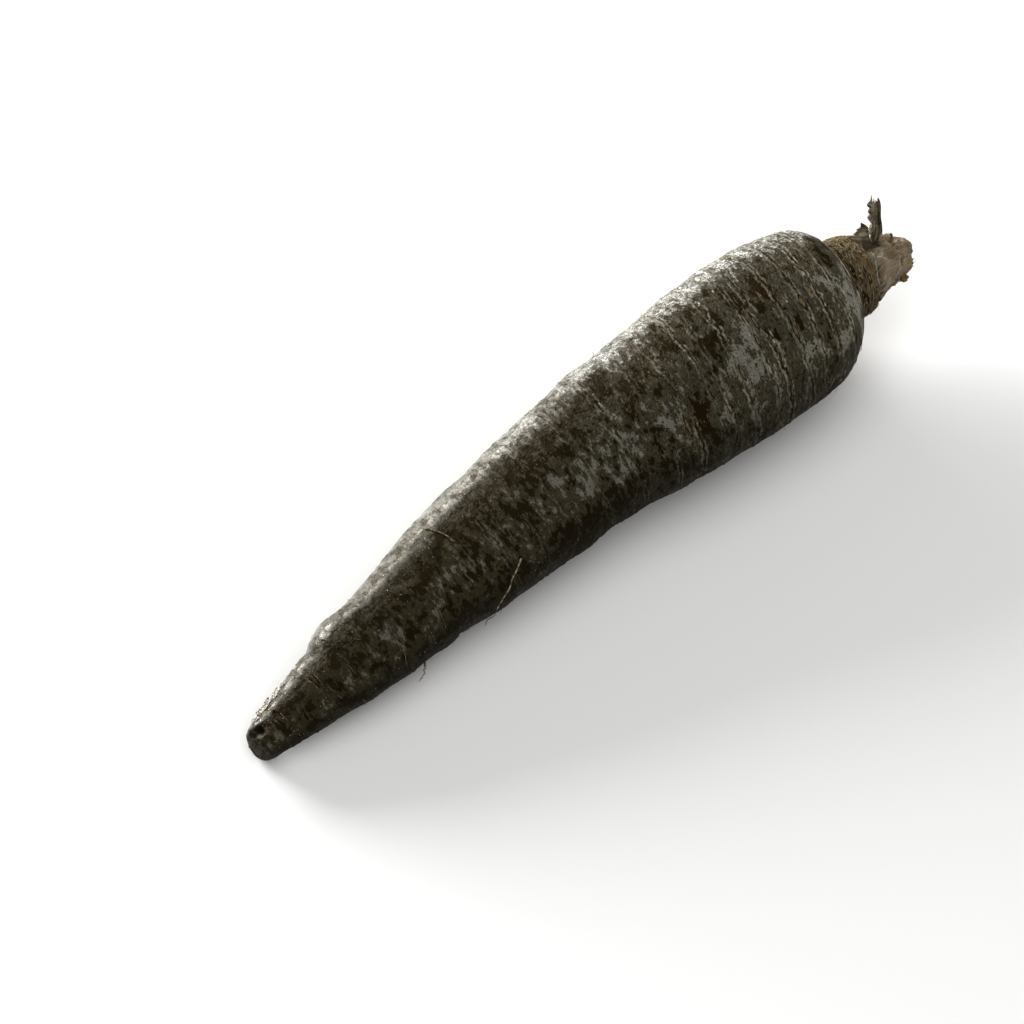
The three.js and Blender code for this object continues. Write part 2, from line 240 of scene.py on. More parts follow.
# Built straight along X as a stack of rings: from the floor of the dish over the rim and
# down to the tip, then smoothed, given its relief and bent along the axis.
CAGE_SIDES = 22
CAGE_RINGS = 61
SMOOTHING = 3
SHRINKAGE = (4 + 2 * math.cos(2 * math.pi / CAGE_SIDES)) / 6   # what smoothing takes off


def root_rings():
    """(along, radius) of each ring of the cage, evenly spaced over the outline."""
    along = np.linspace(root_outline[0][0], root_outline[-1][0], 2000)
    radius = smooth_line(root_outline, along)
    walked = np.concatenate([[0], np.cumsum(np.hypot(np.diff(along), np.diff(radius)))])
    even = np.linspace(0, walked[-1], CAGE_RINGS)
    body = list(zip(np.interp(even, walked, along), np.interp(even, walked, radius)))
    return dish_outline[::-1] + body[::-1] + tip_outline


def deselect_all():
    bpy.ops.object.select_all(action="DESELECT")


def extrude_rings(rings, sides):
    """A disc at the first ring, drawn out through the others: a tube closed at its end."""
    deselect_all()
    (along, radius), rest = rings[0], rings[1:]
    bpy.ops.mesh.primitive_circle_add(
        vertices=sides, radius=radius, fill_type="TRIFAN",
        location=(along, 0, 0), rotation=(0, math.radians(90), 0),
    )
    bpy.ops.object.transform_apply(location=True, rotation=True, scale=True)
    bpy.ops.object.mode_set(mode="EDIT")
    for next_along, next_radius in rest:
        bpy.ops.mesh.extrude_region_move(
            TRANSFORM_OT_translate={"value": (next_along - along, 0, 0)}
        )
        bpy.ops.transform.resize(
            value=(1, next_radius / radius, next_radius / radius),
            center_override=(next_along, 0, 0),
        )
        along, radius = next_along, next_radius
    bpy.ops.mesh.select_all(action="DESELECT")
    bpy.ops.mesh.select_non_manifold()
    bpy.ops.mesh.edge_face_add()
    bpy.ops.mesh.poke()
    bpy.ops.mesh.select_all(action="SELECT")
    bpy.ops.mesh.normals_make_consistent(inside=False)
    bpy.ops.object.mode_set(mode="OBJECT")
    return bpy.context.object


def subdivide_smoothly(piece, levels):
    smoother = piece.modifiers.new("smoothing", "SUBSURF")
    smoother.levels = smoother.render_levels = levels
    bpy.context.view_layer.objects.active = piece
    bpy.ops.object.modifier_apply(modifier=smoother.name)


def mesh_points(piece):
    flat = np.empty(len(piece.data.vertices) * 3, np.float32)
    piece.data.vertices.foreach_get("co", flat)
    return flat.reshape(-1, 3).astype(float)


def set_points(piece, points):
    piece.data.vertices.foreach_set("co", np.asarray(points, np.float32).ravel())
    piece.data.update()


def store(piece, name, values):
    """Keeps a number or a vector for each point, for the material to read."""
    values = np.asarray(values, np.float32)
    kind, key = ("FLOAT", "value") if values.ndim == 1 else ("FLOAT_VECTOR", "vector")
    piece.data.attributes.new(name, kind, "POINT").data.foreach_set(key, values.ravel())


def scar_fields(along, angle, radius):
    """Two fields that fall off round each scar: a short one for the spindle itself, 1 in its
    middle and 0 on its outline, and a long one for the lines that wrap round it."""
    core, wrap = np.full(len(along), -4.0), np.full(len(along), -4.0)
    for place, degrees, half_length, half_width in scars:
        near = np.abs(along - place) < 8 * half_width
        around = radius[near] * turn_between(angle[near], degrees) / half_length
        across = np.abs(along[near] - place) / half_width
        core[near] = np.maximum(core[near], 1 - around**2 - 2.2 * across)
        wrap[near] = np.maximum(wrap[near], 1 - (around / 2.4) ** 2 - 0.7 * across)
    return core, wrap


# The blunt tip ends in an old scar: two hollows with a fold between them, a crease, and a
# swollen lower lip. Places are along, to +Y and up; then the height and its spread.
tip_lumps = [
    ((1.9, 0.9, 4.9), -1.7, 1.5), ((0.4, 2.2, 3.0), -1.5, 1.3), ((2.6, -2.4, 4.3), -0.5, 1.3),
    ((0.2, 2.2, -1.6), 0.8, 2.6), ((0.2, 0.2, -4.0), 1.4, 2.8), ((1.0, -2.5, -3.3), 0.4, 2.6),
]
tip_crease = [(3.4, -1.6, 4.9), (1.8, -0.9, 4.0), (0.8, -0.2, 2.2), (0.5, 0.9, 0.4), (0.1, 2.2, -2.0)]


def stations(points, count):
    """Evenly spaced places on the straight lines that join some points."""
    steps = np.linspace(0, len(points) - 1, count)
    return np.stack([np.interp(steps, range(len(points)), line) for line in zip(*points)], -1)


def shape_tip(straight):
    """How far each place near the tip moves away from the middle of the tip, and how deep in
    a hollow it is."""
    height = np.zeros(len(straight))
    hollow = np.zeros(len(straight))
    near = straight[:, 0] < 12
    places = straight[near]
    for middle, rise, spread in tip_lumps:
        lump = fade(np.linalg.norm(places - middle, axis=1), spread)
        height[near] += rise * lump
        hollow[near] += lump**0.6 * (rise < -1)
    crease = np.full(len(places), 9.0)
    for bend in stations(tip_crease, 40):
        crease = np.minimum(crease, np.linalg.norm(places - bend, axis=1))
    crease = fade(crease, 0.4) * ease(places[:, 0], 5, 3)
    height[near] += 0.22 * crease
    hollow[near] -= 0.1 * crease
    return height, hollow


def unroll(straight):
    """The distances along, angles round and radii of places on a straight body."""
    along, side, up = straight.T
    return along, np.arctan2(up, side), np.hypot(side, up)


def ring_fields(straight, along, angle):
    """For each place: its ring as a number that is whole on a ring, the gap between rings,
    the ring's strength, the way to the ring, and how far the rings wander there."""
    wander = 0.7 * lumps(straight, 22, 3) + 0.2 * lumps(straight, 5, 11)
    ring = np.interp(along + wander, RINGS, range(len(RINGS)))
    nearest = np.round(ring)
    gap = np.interp(along, RINGS, np.gradient(RINGS))
    on_ring = np.stack([37 * nearest, 20 * np.cos(angle), 20 * np.sin(angle)], -1)
    strength = ease(lumps(on_ring, 16, 5), -0.5, 0.5)
    strength = np.maximum(strength, 0.7 * ease(along, 135, 155)) * (0.4 + 0.6 * ease(along, 50, 100))
    strength *= ease(along, 191, 189.5)
    return ring, gap, strength, (ring - nearest) * gap, wander


def bloom_fields(straight, along, angle, radius):
    """How thick the bloom lies at each place, and how light the whole skin is there, painted light and
    shade included.
    """
    degrees_round = np.degrees(angle) % 360
    angles, low_bloom, high_bloom = zip(*bloom_light_and_shade_round)
    bloom = np.interp(degrees_round, angles, low_bloom)
    bloom += (np.interp(degrees_round, angles, high_bloom) - bloom) * ease(along, 110, 160)
    bloom -= 0.45 * ease(along, 90, 50) * np.interp(degrees_round, [0, 15, 50, 65], [0, 1, 1, 0])
    for place, degrees, length, turn, height in pale_patches:
        bloom += height * spot(along, angle, place, degrees, length, math.radians(turn))
    tone_and_painted_light = np.interp(along, *zip(*tone_along)) * np.interp(degrees_round, *zip(*painted_shade_round))
    # Painted shade on the thin end, on the band above the lit flank.
    tone_and_painted_light *= 1 - 0.5 * ease(along, 115, 60) * np.interp(degrees_round, [48, 60, 74, 92], [0, 1, 1, 0])
    # A broken pale line of painted highlight runs round the rim of the dish.
    rim = fade(radius - 14.0, 0.5) * ease(along, 193, 194.5) * ease(lumps(straight, 5, 15), -0.6, 0.4)
    bloom += 1.2 * rim + 0.15 * ease(along, 182, 188) * (1 - rim)
    return bloom, tone_and_painted_light * (1 + 1.8 * rim)


def finish_root(root):
    """Gives the straight smooth root its skin's relief, its coordinates and its bend."""
    straight = mesh_points(root) / MM
    along, angle, radius = unroll(straight)
    ring, gap, strength, offset, wander = ring_fields(straight, along, angle)
    bloom, tone_and_painted_light = bloom_fields(straight, along, angle, radius)
    scar, wrap = scar_fields(along, angle, radius)

    fine = 1 - 0.6 * ease(along, 110, 60)
    relief = 0.22 * lumps(straight, 7, 1) + 0.1 * fine * lumps(straight * [1.6, 1, 1], 2.6, 2)
    relief += 0.09 * fine * lumps(straight * [1.4, 1, 1], 1.3, 8)
    relief += strength * (0.1 * fade(offset - 0.7, 0.5) - 0.16 * fade(offset, 0.4))
    relief += 0.07 * lumps(straight * [2.6, 0.4, 0.4], 2.0, 41)
    relief += 0.25 * ease(scar, 0, 0.9) - 0.12 * fade(scar + 0.2, 0.25)
    for place, degrees, depth, length, turn in creases:
        relief -= depth * spot(along + 0.5 * wander, angle, place, degrees, length, math.radians(turn))
    outside_dish = 1 - ease(along, 192, 195) * ease(radius, 13.2, 12.0)
    relief = (relief + shape_relief(along, angle, radius)) * outside_dish * ease(radius, 0, 4)

    folded, hollow = shape_tip(straight)
    # Painted shade: the tip's hollows get less bloom and a darker tone.
    bloom -= 0.8 * hollow
    tone_and_painted_light *= 1 - 0.85 * ease(hollow, 0.1, 0.6)
    bent = straight + unit(straight - [6, 0, 0]) * folded[:, None]
    relief = relief + np.where(folded != 0, np.hypot(bent[:, 1], bent[:, 2]) - radius, 0)

    # How much of a place lies on the upper flank, the lit side where the painted highlight and sheen and a
    # glossier coat go; the flank is lower on the thin end.
    degrees_round = np.degrees(angle) % 360
    lower = 14 * ease(bent[:, 0], 120, 70) * ease(degrees_round, 20, 45) * ease(degrees_round, 120, 90)
    flank = np.interp(
        degrees_round + lower, [0, 12, 26, 46, 80, 335, 360], [0.25, 0.6, 1, 0.9, 0, 0, 0.25]
    )
    store(root, "smooth", np.interp(along, [0, 70, 115, 150], [1, 0.85, 0.3, 0]))
    store(root, "grown", straight)
    store(root, "rings", np.stack([ring, gap, strength], -1))
    store(root, "marks", np.stack([bloom, scar, wrap], -1))
    store(root, "tone_and_painted_light", tone_and_painted_light)
    store(root, "flank", flank)
    set_points(root, on_root(bent[:, 0], angle, radius + relief))


class Field:
    """A number, place or colour that varies over a piece: what one node of its material
    gives out. Sums and products of fields are nodes too."""

    def __init__(self, socket):
        self.socket = socket

    def __add__(self, other):
        return node("ShaderNodeMath", {0: self, 1: other}, operation="ADD")

    def __sub__(self, other):
        return node("ShaderNodeMath", {0: self, 1: other}, operation="SUBTRACT")

    def __rsub__(self, other):
        return node("ShaderNodeMath", {0: other, 1: self}, operation="SUBTRACT")

    def __mul__(self, other):
        return node("ShaderNodeMath", {0: self, 1: other}, operation="MULTIPLY")

    def __abs__(self):
        return node("ShaderNodeMath", {0: self}, operation="ABSOLUTE")

    __radd__ = __add__
    __rmul__ = __mul__

    def parts(self):
        return [node("ShaderNodeSeparateXYZ", {0: self}, axis) for axis in range(3)]


def set_socket(socket, value):
    if isinstance(value, Field):
        socket.id_data.links.new(value.socket, socket)
    elif socket.type == "RGBA":
        socket.default_value = (*value, 1)
    else:
        socket.default_value = value


def node(kind, inputs, output=0, tree=None, **settings):
    """Adds a node to the material that its inputs belong to and gives its output's field."""
    if tree is None:
        tree = next(value.socket.id_data for value in inputs.values() if isinstance(value, Field))
    new_node = tree.nodes.new(kind)
    for name, value in settings.items():
        setattr(new_node, name, value)
    for name, value in inputs.items():
        set_socket(new_node.inputs[name], value)
    return Field(new_node.outputs[output])


class Surface:
    """A material being made: what is stored on its piece, and the shader at its end."""

    def __init__(self, name):
        self.material = bpy.data.materials.new(name)
        self.material.use_nodes = True

    def stored(self, name, output="Vector"):
        return node("ShaderNodeAttribute", {}, output, self.material.node_tree, attribute_name=name)

    def finish(self, colour, roughness, height=None, **constants):
        """Sets the shader; the height is in millimetres."""
        inputs = {"Base Color": colour, "Roughness": roughness, **constants}
        if height is not None:
            inputs["Normal"] = node("ShaderNodeBump", {"Height": height, "Distance": MM})
        shader = self.material.node_tree.nodes["Principled BSDF"]
        for name, value in inputs.items():
            set_socket(shader.inputs[name.replace("_", " ")], value)
        return self.material


def step(value, low, high, bottom=0.0, top=1.0):
    """Rises smoothly from bottom to top while a field goes from low to high."""
    return node(
        "ShaderNodeMapRange", {"Value": value, 1: low, 2: high, 3: bottom, 4: top},
        interpolation_type="SMOOTHSTEP",
    )


def most(first, second):
    return node("ShaderNodeMath", {0: first, 1: second}, operation="MAXIMUM")


def mix(amount, first, second):
    return node("ShaderNodeMix", {0: amount, 6: first, 7: second}, 2, data_type="RGBA")


def shade_of(colour, light):
    return [channel * light for channel in colour]


def grain(place, size, stretch=(1, 1, 1), detail=2.0, roughness=0.5, seed=0.0, twist=0.0):
    """Random lumps of a size, from about -1 to 1."""
    scaled = node(
        "ShaderNodeVectorMath", {0: place, 1: [part / size for part in stretch]}, operation="MULTIPLY"
    )
    moved = node("ShaderNodeVectorMath", {0: scaled, 1: (seed, seed * 1.7, seed * 2.3)}, operation="ADD")
    lump = node("ShaderNodeTexNoise", {
        "Vector": moved, "Scale": 1.0, "Detail": detail, "Roughness": roughness, "Distortion": twist,
    })
    return node("ShaderNodeMath", {0: lump, 1: 4.0, 2: -2.0}, operation="MULTIPLY_ADD")


DARK_SKIN = (0.019, 0.011, 0.0)
OLIVE_SKIN = (0.08, 0.073, 0.051)
THIN_END_SKIN = (0.066, 0.055, 0.026)
PAINTED_SHEEN_GREY = (0.168, 0.168, 0.146)
ASH = (0.215, 0.208, 0.18)
DRY_ASH_AND_PAINTED_HIGHLIGHT = (0.74, 0.735, 0.7)
CRACK_BROWN = (0.04, 0.034, 0.02)
PALE_LINE = (0.27, 0.255, 0.205)
SCAR_TAN = (0.235, 0.178, 0.115)
PAINTED_GLINT_WHITE = (0.6, 0.59, 0.56)
SHOULDER = (105, 160)    # where the slim part of the root turns into its shoulder


class RootSkin(Surface):
    """The root's skin, with the fields that its layers are worked out from. Its thin end is
    smoother and less coarse than the rest."""

    def __init__(self):
        super().__init__("purple_carrot_skin")
        place = self.place = self.stored("grown")
        self.along = place.parts()[0]
        self.upper_flank = self.stored("flank", "Fac")
        self.smooth = self.stored("smooth", "Fac")
        self.coarse = 1 - 0.75 * self.smooth
        self.grit = grain(place, 0.5, detail=2, seed=3)
        self.speckle = grain(place, 1.1, (1.3, 1, 1), detail=3, roughness=0.6, seed=9)
        self.mottle = grain(place, 2.6, (1.7, 0.85, 0.85), detail=4, roughness=0.55, seed=5)
        self.spots = grain(place, 3.8, (1.3, 1, 1), detail=3, seed=83)
        self.patch = grain(place, 10, (1.6, 1, 1), detail=4, roughness=0.55, seed=7, twist=0.4)

    def towards_shoulder(self, slim=0.0, shoulder=1.0):
        """Goes from one value on the slim part of the root to another on its shoulder."""
        return step(self.along, *SHOULDER, slim, shoulder)


def torn_bloom(skin, bloom_here):
    """A thin olive film, torn into small flakes, with broad ashy patches on it. On the thin
    end it is softer and lies in wider spots. Gives the colour, the height and the bloom."""
    grit, speckle, mottle, patch, smooth = skin.grit, skin.speckle, skin.mottle, skin.patch, skin.smooth
    film = (
        mottle * (skin.towards_shoulder(0.95, 0.48) - 0.45 * smooth)
        + patch * skin.towards_shoulder(0.4, 0.8) + 0.6 * skin.spots * smooth
        + speckle * skin.towards_shoulder(0.2, 0.12) + 0.06 * grit
        + 0.55 * bloom_here + step(skin.along, 90, 160, 0.06, 0.2)
    )
    film_amount = step(film, -0.26, -0.12)
    flecks = step(speckle + 0.8 * grit, -0.9, 0.9)
    thin_film = mix(flecks, shade_of(OLIVE_SKIN, 0.72), shade_of(OLIVE_SKIN, 1.18))
    thin_film = mix(0.65 * smooth, thin_film, THIN_END_SKIN)
    thickness = step(film + 0.1 * grit, 0.34, 0.5) * (1 - 0.4 * smooth)
    film_tone = mix(thickness, thin_film, shade_of(OLIVE_SKIN, 2.0))
    colour = mix(film_amount, DARK_SKIN, film_tone)
    bloom = (
        mottle * skin.towards_shoulder(0.8, 0.42) + patch * skin.towards_shoulder(0.45, 0.8)
        + 0.08 * grit + 0.16 * speckle + bloom_here
    )
    ash_amount = node(
        "ShaderNodeMath", {0: bloom - 0.3, 1: skin.towards_shoulder(3.2, 6.5), 2: 0.5},
        operation="MULTIPLY_ADD", use_clamp=True,
    )
    ash_tone = mix(step(grit, -0.8, 0.8), shade_of(ASH, 0.78), shade_of(ASH, 1.2))
    return mix(ash_amount, colour, ash_tone), 0.08 * ash_amount + 0.05 * film_amount, bloom


def flank_bloom_and_highlight(skin, colour, bloom):
    """The upper flank's bloom is thick, dry and whiter, partly as a painted highlight, with fine dark
    cracks; on the thin end it turns into an even grey painted sheen. Small pits lie all over the root,
    fainter there."""
    speckle, mottle = skin.speckle, skin.mottle
    # A painted sheen: an even pale grey on the thin end's upper flank.
    painted_sheen = skin.upper_flank * skin.smooth * step(skin.spots + 0.4 * speckle, -0.7, 0.7, 0.2, 0.9)
    colour = mix(painted_sheen, colour, PAINTED_SHEEN_GREY)
    # Whiter, drier bloom on the upper flank, partly a painted highlight.
    flank = step(skin.upper_flank + 0.45 * mottle + 0.25 * speckle, 0.35, 0.7)
    uneven = step(0.5 * speckle + 0.5 * mottle + 0.9 * skin.patch, -0.9, 0.8)
    dry = step(bloom, -0.3, 0.1) * (0.97 - 0.95 * skin.smooth)
    colour = mix(flank * dry, colour, mix(uneven, shade_of(ASH, 0.75), DRY_ASH_AND_PAINTED_HIGHLIGHT))
    cracks = step(abs(grain(skin.place, 2.2, (1.4, 1, 1), 4, 0.65, 61, 1.0)), 0.22, 0.06)
    cracks = most(cracks, step(grain(skin.place, 0.75, detail=2, seed=65), 0.3, 0.6)) * skin.coarse
    colour = mix(0.85 * cracks * flank, colour, CRACK_BROWN)
    pits = step(grain(skin.place, 1.0, (1.3, 1, 1), 2, 0.5, 14, 0.6), -0.45, -0.75)
    colour = mix(0.85 * pits * skin.coarse, colour, DARK_SKIN)
    return colour, -0.15 * pits - 0.12 * cracks * flank


def ring_lines(skin, colour, breaks):
    """Each ring is a thin pale flaking line with a groove beside it, darkened as painted shade, and a
    narrower twin.
    """
    ring_number, ring_gap, ring_strength = skin.stored("rings").parts()
    shake = 0.3 * grain(skin.place, 1.2, (1, 0.6, 0.6), detail=3, roughness=0.6, seed=21)
    shake = shake + 0.35 * grain(skin.place, 3.5, detail=1, seed=23)
    flakes = grain(skin.place, 0.9, (1.4, 0.7, 0.7), detail=2, seed=25)
    from_ring = node("ShaderNodeMath", {0: ring_number + 0.5}, operation="FRACT") - 0.5
    offset = from_ring * ring_gap + shake
    twin_breaks = step(grain(skin.place, 2.6, (1.5, 0.5, 0.5), detail=3, seed=37), -0.3, 0.2)
    pale = step(abs(offset) + 0.3 * flakes, 0.42, 0.14) * ring_strength * breaks
    twin = step(abs(offset - 1.2) + 0.3 * flakes, 0.36, 0.12) * ring_strength * twin_breaks
    pale = most(pale, twin)
    shaded_groove = step(abs(offset - 0.62), 0.4, 0.1) * ring_strength * breaks
    # Painted shade in the groove beside each ring.
    colour = mix(0.8 * shaded_groove, colour, DARK_SKIN)
    line_tone = mix(step(flakes, 0.1, -0.9), PALE_LINE, shade_of(PALE_LINE, 1.7))
    colour = mix(pale * step(skin.along, 60, 150, 0.6, 0.78), colour, line_tone)
    return colour, 0.14 * pale - 0.14 * shaded_groove


def short_dashes(skin, colour):
    """Short bent dashes round the root, pale and dark, and tan streaks outlined in dark."""
    streak = grain(skin.place, 1.2, (1.7, 0.4, 0.4), 2, 0.5, 51, 0.3)
    dashed = 0.3 + 0.7 * skin.towards_shoulder()
    tan_streak = grain(skin.place, 1.9, (2.0, 0.5, 0.5), 2, 0.6, 77, 0.4)
    colour = mix(0.8 * step(tan_streak, 0.44, 0.62) * skin.coarse, colour, DARK_SKIN)
    colour = mix(0.9 * step(tan_streak, 0.66, 0.84) * skin.coarse, colour, shade_of(SCAR_TAN, 0.9))
    colour = mix(0.6 * step(streak, -0.6, -0.8) * dashed, colour, DARK_SKIN)
    colour = mix(0.6 * step(streak, 0.6, 0.8) * dashed * skin.coarse, colour, PALE_LINE)
    return colour, 0.05 * streak * dashed


def side_root_scars(skin, colour, scar_here, wrap_here, breaks):
    """Where side roots have dried off: a tan spindle wrapped in pale and dark lines."""
    rough_edge = 0.2 * skin.speckle + 0.12 * skin.grit
    scar = scar_here + rough_edge
    wrap = wrap_here + rough_edge
    wraps = most(step(abs(wrap - 0.42), 0.14, 0.04), step(abs(wrap - 0.06), 0.12, 0.04))
    colour = mix(0.4 * step(abs(wrap - 0.25), 0.16, 0.06), colour, DARK_SKIN)
    colour = mix(0.5 * wraps * breaks, colour, PALE_LINE)
    # Painted shade in the dent round the spindle's outline.
    colour = mix(0.8 * step(abs(scar + 0.2), 0.5, 0.2), colour, DARK_SKIN)
    scar_tone = mix(step(skin.grit, -0.6, 0.8), shade_of(SCAR_TAN, 0.6), shade_of(SCAR_TAN, 1.1))
    colour = mix(0.85 * step(scar, 0.05, 0.35), colour, scar_tone)
    return colour, 0.08 * wraps


def raised_beads(skin):
    """Tiny raised beads that catch the light on the thin end."""
    cell = node("ShaderNodeVectorMath", {0: skin.place, 1: (0.8, 0.8, 0.8)}, operation="MULTIPLY")
    beads = step(node("ShaderNodeTexVoronoi", {"Vector": cell, "Scale": 1.0}), 0.26, 0.08)
    chosen = node("ShaderNodeTexVoronoi", {"Vector": cell, "Scale": 1.0}, 1).parts()[0]
    return beads * step(chosen, 0.45, 0.6) * step(skin.patch, -0.3, 0.4)


def skin_material():
    skin = RootSkin()
    smooth, coarse = skin.smooth, skin.coarse
    bloom_here, scar_here, wrap_here = skin.stored("marks").parts()
    breaks = grain(skin.place, 2.2, (1.5, 0.6, 0.6), detail=3, seed=31)
    breaks = step(breaks + 0.35 * skin.towards_shoulder(), -0.3, 0.3)
    colour, bloom_height, bloom = torn_bloom(skin, bloom_here)
    colour, flank_height = flank_bloom_and_highlight(skin, colour, bloom)
    colour, ring_height = ring_lines(skin, colour, breaks)
    colour, dash_height = short_dashes(skin, colour)
    colour, scar_height = side_root_scars(skin, colour, scar_here, wrap_here, breaks)
    tone_and_painted_light = skin.stored("tone_and_painted_light", "Fac")
    colour = node("ShaderNodeVectorMath", {0: colour, 3: tone_and_painted_light}, operation="SCALE")
    beads = raised_beads(skin)
    # A painted white glint on the beads, besides their gloss and bump.
    colour = mix(0.6 * beads * smooth, colour, PAINTED_GLINT_WHITE)

    roughness = step(bloom, -0.4, 0.4, 0.7, 0.6) - 0.15 * beads
    roughness = roughness - 0.33 * smooth * (0.25 + 0.75 * skin.upper_flank)
    glossy = step(skin.spots + 0.5 * skin.patch + 0.3 * skin.speckle, -0.3, 0.5)
    gloss = 0.05 + 0.95 * skin.upper_flank * smooth * glossy + 0.5 * beads * smooth
    height = (
        (0.26 * skin.grit + 0.3 * skin.speckle) * coarse * coarse * coarse
        + 0.12 * skin.mottle * coarse + 1.1 * beads * smooth + 0.22 * skin.spots * smooth
        + bloom_height + flank_height + ring_height + dash_height + scar_height
    )
    return skin.finish(
        colour, roughness, height, IOR=1.36, Specular_Tint=(1, 0.83, 0.52),
        Coat_Weight=gloss, Coat_Roughness=0.14,
    )


def coat(piece, name, material):
    """Names a finished mesh, shades it smooth and gives it its material."""
    piece.name = piece.data.name = name
    bpy.ops.object.shade_smooth()
    piece.data.materials.append(material)


taproot = extrude_rings(
    [(along * MM, radius * MM / SHRINKAGE) for along, radius in root_rings()], CAGE_SIDES
)
subdivide_smoothly(taproot, SMOOTHING)
finish_root(taproot)
coat(taproot, "taproot_skin", skin_material())
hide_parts("taproot")
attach(taproot, "root")

# --- Crown ----------------------------------------------------------------------------
# What is left of the stem: a corky neck that sits in the dish of the root, wound in slanting brown fibres
# with pits between them, and a slim core inside the leaves. Painted shade darkens the grooves and pits
# between the fibres.

CROWN_LENGTH = 25.6
SEAM = 0.35              # the dry seam between one piece and the next
SEAT = ROOT_LENGTH - DISH_DEPTH + SEAM
NECK_LENGTH = 8.6
# Distance from the floor of the dish and radius, over the leaf bases.
crown_outline = [
    (0, 11.0), (1.6, 11.2), (5.7, 11.1), (8.8, 10.2), (12, 8.9), (14.5, 8.1),
    (18.5, 7.2), (21.4, 6.5), (23.4, 5.2), (25, 3.4), (CROWN_LENGTH, 2.4),
]
core_outline = [(9.4, 6.6), (12, 5.6), (15.5, 4.5), (19, 3.8), (21.5, 2.8), (22.6, 1.0)]

# The crown starts square in its dish and leans over a little as it goes.
seat = on_root(SEAT, 0, 0) / MM
seat_side = on_root(SEAT, 0, 1) / MM - seat
seat_up = on_root(SEAT, math.pi / 2, 1) / MM - seat
seat_forward = np.cross(seat_side, seat_up)
knee = seat + seat_forward * CROWN_LENGTH / 3
crown_tip = seat + seat_forward * CROWN_LENGTH - seat_side - 0.2 * seat_up
crown_axis = [
    (1 - t) ** 2 * seat + 2 * t * (1 - t) * knee + t * t * crown_tip
    for t in np.linspace(0, 1, 9)
]

# Thin pale edges of old leaf stalks, pressed into the crown: along and degrees.
pale_edges = [
    [(11.5, 97), (11, 110), (9.8, 126), (8.9, 140), (8.8, 150)],
    [(6.2, 116), (7.2, 127), (6.7, 139), (7.1, 149), (7.7, 154), (8.8, 155), (10.8, 152), (12, 146)],
    [(11.7, 110), (13, 114), (14.1, 121), (14.7, 125)],
    [(18.3, 126), (17.3, 138), (17.1, 148), (16.2, 156), (15.3, 164), (14, 171), (11.6, 168), (9, 164)],
    [(20.6, 144), (18.6, 147), (17.4, 152), (16.1, 158)],
    [(7, 215), (9, 232), (12, 240), (16, 236)],
    [(9, 290), (12, 300), (16, 306), (19, 300)],
    [(8, 20), (11, 8), (14, 2), (18, 6)],
    [(8, 340), (12, 350), (17, 345)],
]


def on_crown(along, angle, radius):
    """Places in the frame, in metres, at distances, angles and radii of the crown."""
    return on_axis(crown_axis, along, angle, radius) * MM


def from_pale_edges(along, angle):
    """The distance of each place on the crown to the nearest pale edge, in millimetres."""
    radius = smooth_line(crown_outline, along)
    nearest = np.full(len(along), 9.0)
    for line in pale_edges:
        for place, degrees in stations(line, 12 * len(line)):
            away = np.hypot(along - place, radius * turn_between(angle, degrees))
            nearest = np.minimum(nearest, away)
    return nearest


def finish_crown(crown):
    points = mesh_points(crown) / MM
    along, angle, radius = unroll(points)
    slanting = along + 1.2 * np.sin(angle - math.radians(30)) + 0.5 * lumps(points, 4, 31)
    straight = np.stack([slanting, points[:, 1], points[:, 2]], -1)
    fibre = lumps(straight * [1.7, 0.4, 0.4], 1.2, 3) + 0.5 * lumps(straight * [1.5, 0.45, 0.45], 0.6, 9)
    pit = lumps(straight * [1.7, 0.45, 0.45], 1.3, 17)
    edge = from_pale_edges(along, angle)
    on_neck = ease(along, 1.5, 2.6) * ease(radius, 8, 9)
    rough = (1 - 0.75 * spot(along, angle, 8, 145, 2.6, 0.6)) * (0.45 + 0.55 * ease(along, 8, 4))
    fibre, pit = fibre * (0.4 + 0.6 * rough), pit - 0.5 * (1 - rough)
    relief = 0.28 * (1 - 1.6 * np.abs(fibre)) - 0.5 * ease(pit, 0.3, 0.8)
    relief += 0.35 * lumps(straight, 4, 5) + 0.12 * fade(edge, 0.2)
    store(crown, "grown", straight)
    store(crown, "marks", np.stack([fibre, pit, edge], -1))
    set_points(crown, on_crown(along, angle, radius + (relief - 0.25) * on_neck))


def crown_material():
    bark = Surface("crown_bark")
    place = bark.stored("grown")
    fibre, pit, edge = bark.stored("marks").parts()
    grit = grain(place, 0.4, detail=2, seed=2)
    thread = grain(place, 0.5, (1.6, 0.35, 0.35), detail=3, roughness=0.65, seed=4)
    tint = grain(place, 2.4, (1.2, 0.6, 0.6), detail=2, seed=12)
    # The colour follows the fibres' relief: darker in the grooves as painted shade, lighter on the ridge
    # tops.
    shade = 1 - 1.6 * abs(fibre) + 0.7 * thread + 0.15 * grit
    colour = mix(step(shade, -0.5, 0.5), (0.05, 0.036, 0.014), (0.18, 0.142, 0.085))
    colour = mix(step(shade, 0.8, 1.8), colour, (0.45, 0.4, 0.3))
    # Amber on the ridges: partly the fibres' own colour, partly a painted glint.
    amber = 0.7 * step(tint, 0.1, 0.6) * step(shade, 0.2, 0.9)
    colour = mix(amber, colour, (0.28, 0.17, 0.06))
    # Painted shade in the pits.
    colour = mix(step(pit, 0.35, 0.8), colour, (0.028, 0.018, 0.006))
    dust = step(grain(place, 0.3, detail=1, seed=22), 0.35, 0.7)
    colour = mix(0.4 * dust, colour, (0.4, 0.38, 0.32))
    pale = step(edge + 0.1 * grit, 0.26, 0.08)
    colour = mix(0.55 * pale, colour, (0.34, 0.33, 0.26))
    return bark.finish(colour, 0.75, 0.2 * thread + 0.1 * grit, IOR=1.35)


